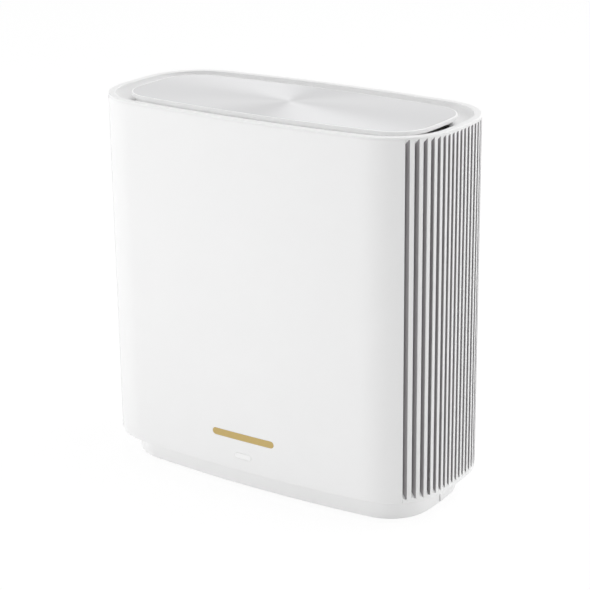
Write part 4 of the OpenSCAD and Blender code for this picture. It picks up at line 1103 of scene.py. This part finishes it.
def seen(tree):
    """1 for what is seen, mirrored or looked at through glass, 0 for light on the object."""
    ray = place(tree, "ShaderNodeLightPath").outputs
    indirectly = number(tree, "MAXIMUM", ray["Is Glossy Ray"], ray["Is Transmission Ray"])
    return number(tree, "MAXIMUM", ray["Is Camera Ray"], indirectly)


def blended(tree, share, first, second):
    """Shader that goes from the first to the second as the share goes from 0 to 1."""
    return place(tree, "ShaderNodeMixShader", {"Fac": share, 1: first, 2: second}).outputs[0]


def floor_material():
    """Pale floor that shows as white, keeps the soft shadow and is clear from below."""
    material, tree, shader = new_material("pale_floor")
    shader.inputs["Base Color"].default_value = PALE
    shader.inputs["Roughness"].default_value = FLOOR_ROUGH
    white = place(tree, "ShaderNodeEmission", {"Strength": GLOW}).outputs[0]
    shown = blended(tree, GLOW_SHARE, shader.outputs[0], white)
    top_side = blended(tree, seen(tree), shader.outputs[0], shown)
    below = place(tree, "ShaderNodeNewGeometry").outputs["Backfacing"]
    clear = place(tree, "ShaderNodeBsdfTransparent").outputs[0]
    link(tree, blended(tree, below, top_side, clear), tree.nodes["Material Output"].inputs["Surface"])
    return material


def lay_floor():
    """Level floor under the feet."""
    side = FLOOR_SIDE
    floor = make("floor", [(-side, -side, 0), (side, -side, 0), (side, side, 0), (-side, side, 0)],
                 [(0, 1, 2, 3)])
    floor.data.materials.append(floor_material())


def white_room():
    """White all round, with a gentler light on the object."""
    world = bpy.data.worlds.new("studio")
    bpy.context.scene.world = world
    world.use_nodes = True
    tree = world.node_tree
    background = tree.nodes["Background"]
    background.inputs["Color"].default_value = WHITE
    link(tree, spread(tree, seen(tree), ROOM_LIGHT, 1.0), background.inputs["Strength"])


# ------------------------------ lamps and camera

LAMPS = {  # bearing and elevation in degrees, side and distance in mm, power in W
    "key": (-50, 14, 900, 1500, 5.8),
    "left": (-80, 8, 900, 1500, 4.8),
    "fill": (12, 4, 900, 1500, 2.8),
    "right": (128, 16, 900, 1500, 9.6),
    "low": (-5, 2, 350, 420, 0.45),
    "top": (162, 74, 1300, 1500, 9.0)}
LAMP_AIM = Vector((0, 0, 80))

BEARING, ELEVATION, ROLL = 34.31, 18.765, math.radians(-0.724)
DISTANCE, AIM = 765.717, Vector((0, 0, 81.4))
SENSOR_W, LENS = 36, 111.78
SHIFT_X, SHIFT_Y = 0.00502, -0.01098
CLIP_START, CLIP_END = 0.01, 20  # metres


def towards(bearing, elevation):
    """Direction out of the object; the bearing runs from the front to the right-hand end."""
    turn, lift = math.radians(bearing), math.radians(elevation)
    return Vector((math.sin(turn) * math.cos(lift), -math.cos(turn) * math.cos(lift), math.sin(lift)))


def softbox(name, bearing, elevation, side, away, power):
    """Square lamp at this bearing that looks at the object."""
    lamp = bpy.data.lights.new(name, "AREA")
    lamp.shape = "SQUARE"
    lamp.size = side * MM
    lamp.energy = power
    holder = put(name, lamp)
    spot = towards(bearing, elevation) * away
    holder.location = spot * MM
    holder.rotation_mode = "QUATERNION"
    holder.rotation_quaternion = (LAMP_AIM - spot).to_track_quat("-Z", "Y")
    return holder


def hang_lamps():
    """The lid mirrors the white room and the top lamp, and none of the others."""
    for name, values in LAMPS.items():
        lamp = softbox(name, *values)
        if name != "top":
            lamp.visible_glossy = False
            lamp.visible_camera = False


def point_camera():
    """Camera that looks at the middle of the part from the front and the right."""
    back = towards(BEARING, ELEVATION)
    right = towards(BEARING + 90, 0)
    up = back.cross(right)
    across = right * math.cos(ROLL) + up * math.sin(ROLL)
    upward = up * math.cos(ROLL) - right * math.sin(ROLL)
    lens = bpy.data.cameras.new("camera")
    lens.sensor_width, lens.lens = SENSOR_W, LENS
    lens.shift_x, lens.shift_y = SHIFT_X, SHIFT_Y
    lens.clip_start, lens.clip_end = CLIP_START, CLIP_END
    camera = put("camera", lens)
    turned = Matrix((across, upward, back)).transposed().to_4x4()
    camera.matrix_world = Matrix.Translation((AIM + back * DISTANCE) * MM) @ turned
    bpy.context.scene.camera = camera


# ------------------------------ assembly

for build in (front_shell, rear_shell, gold_bar, light_window, ribbed_ends, rim_and_dish,
              lid_tray, spun_disc, lid_ledges, plinth):
    build()
for name, width in EASED.items():
    softened(name, width)
colour_the_rest()

lay_floor()
white_room()
hang_lamps()
point_camera()
bpy.context.scene.view_settings.view_transform = "Standard"
bpy.context.view_layer.update()
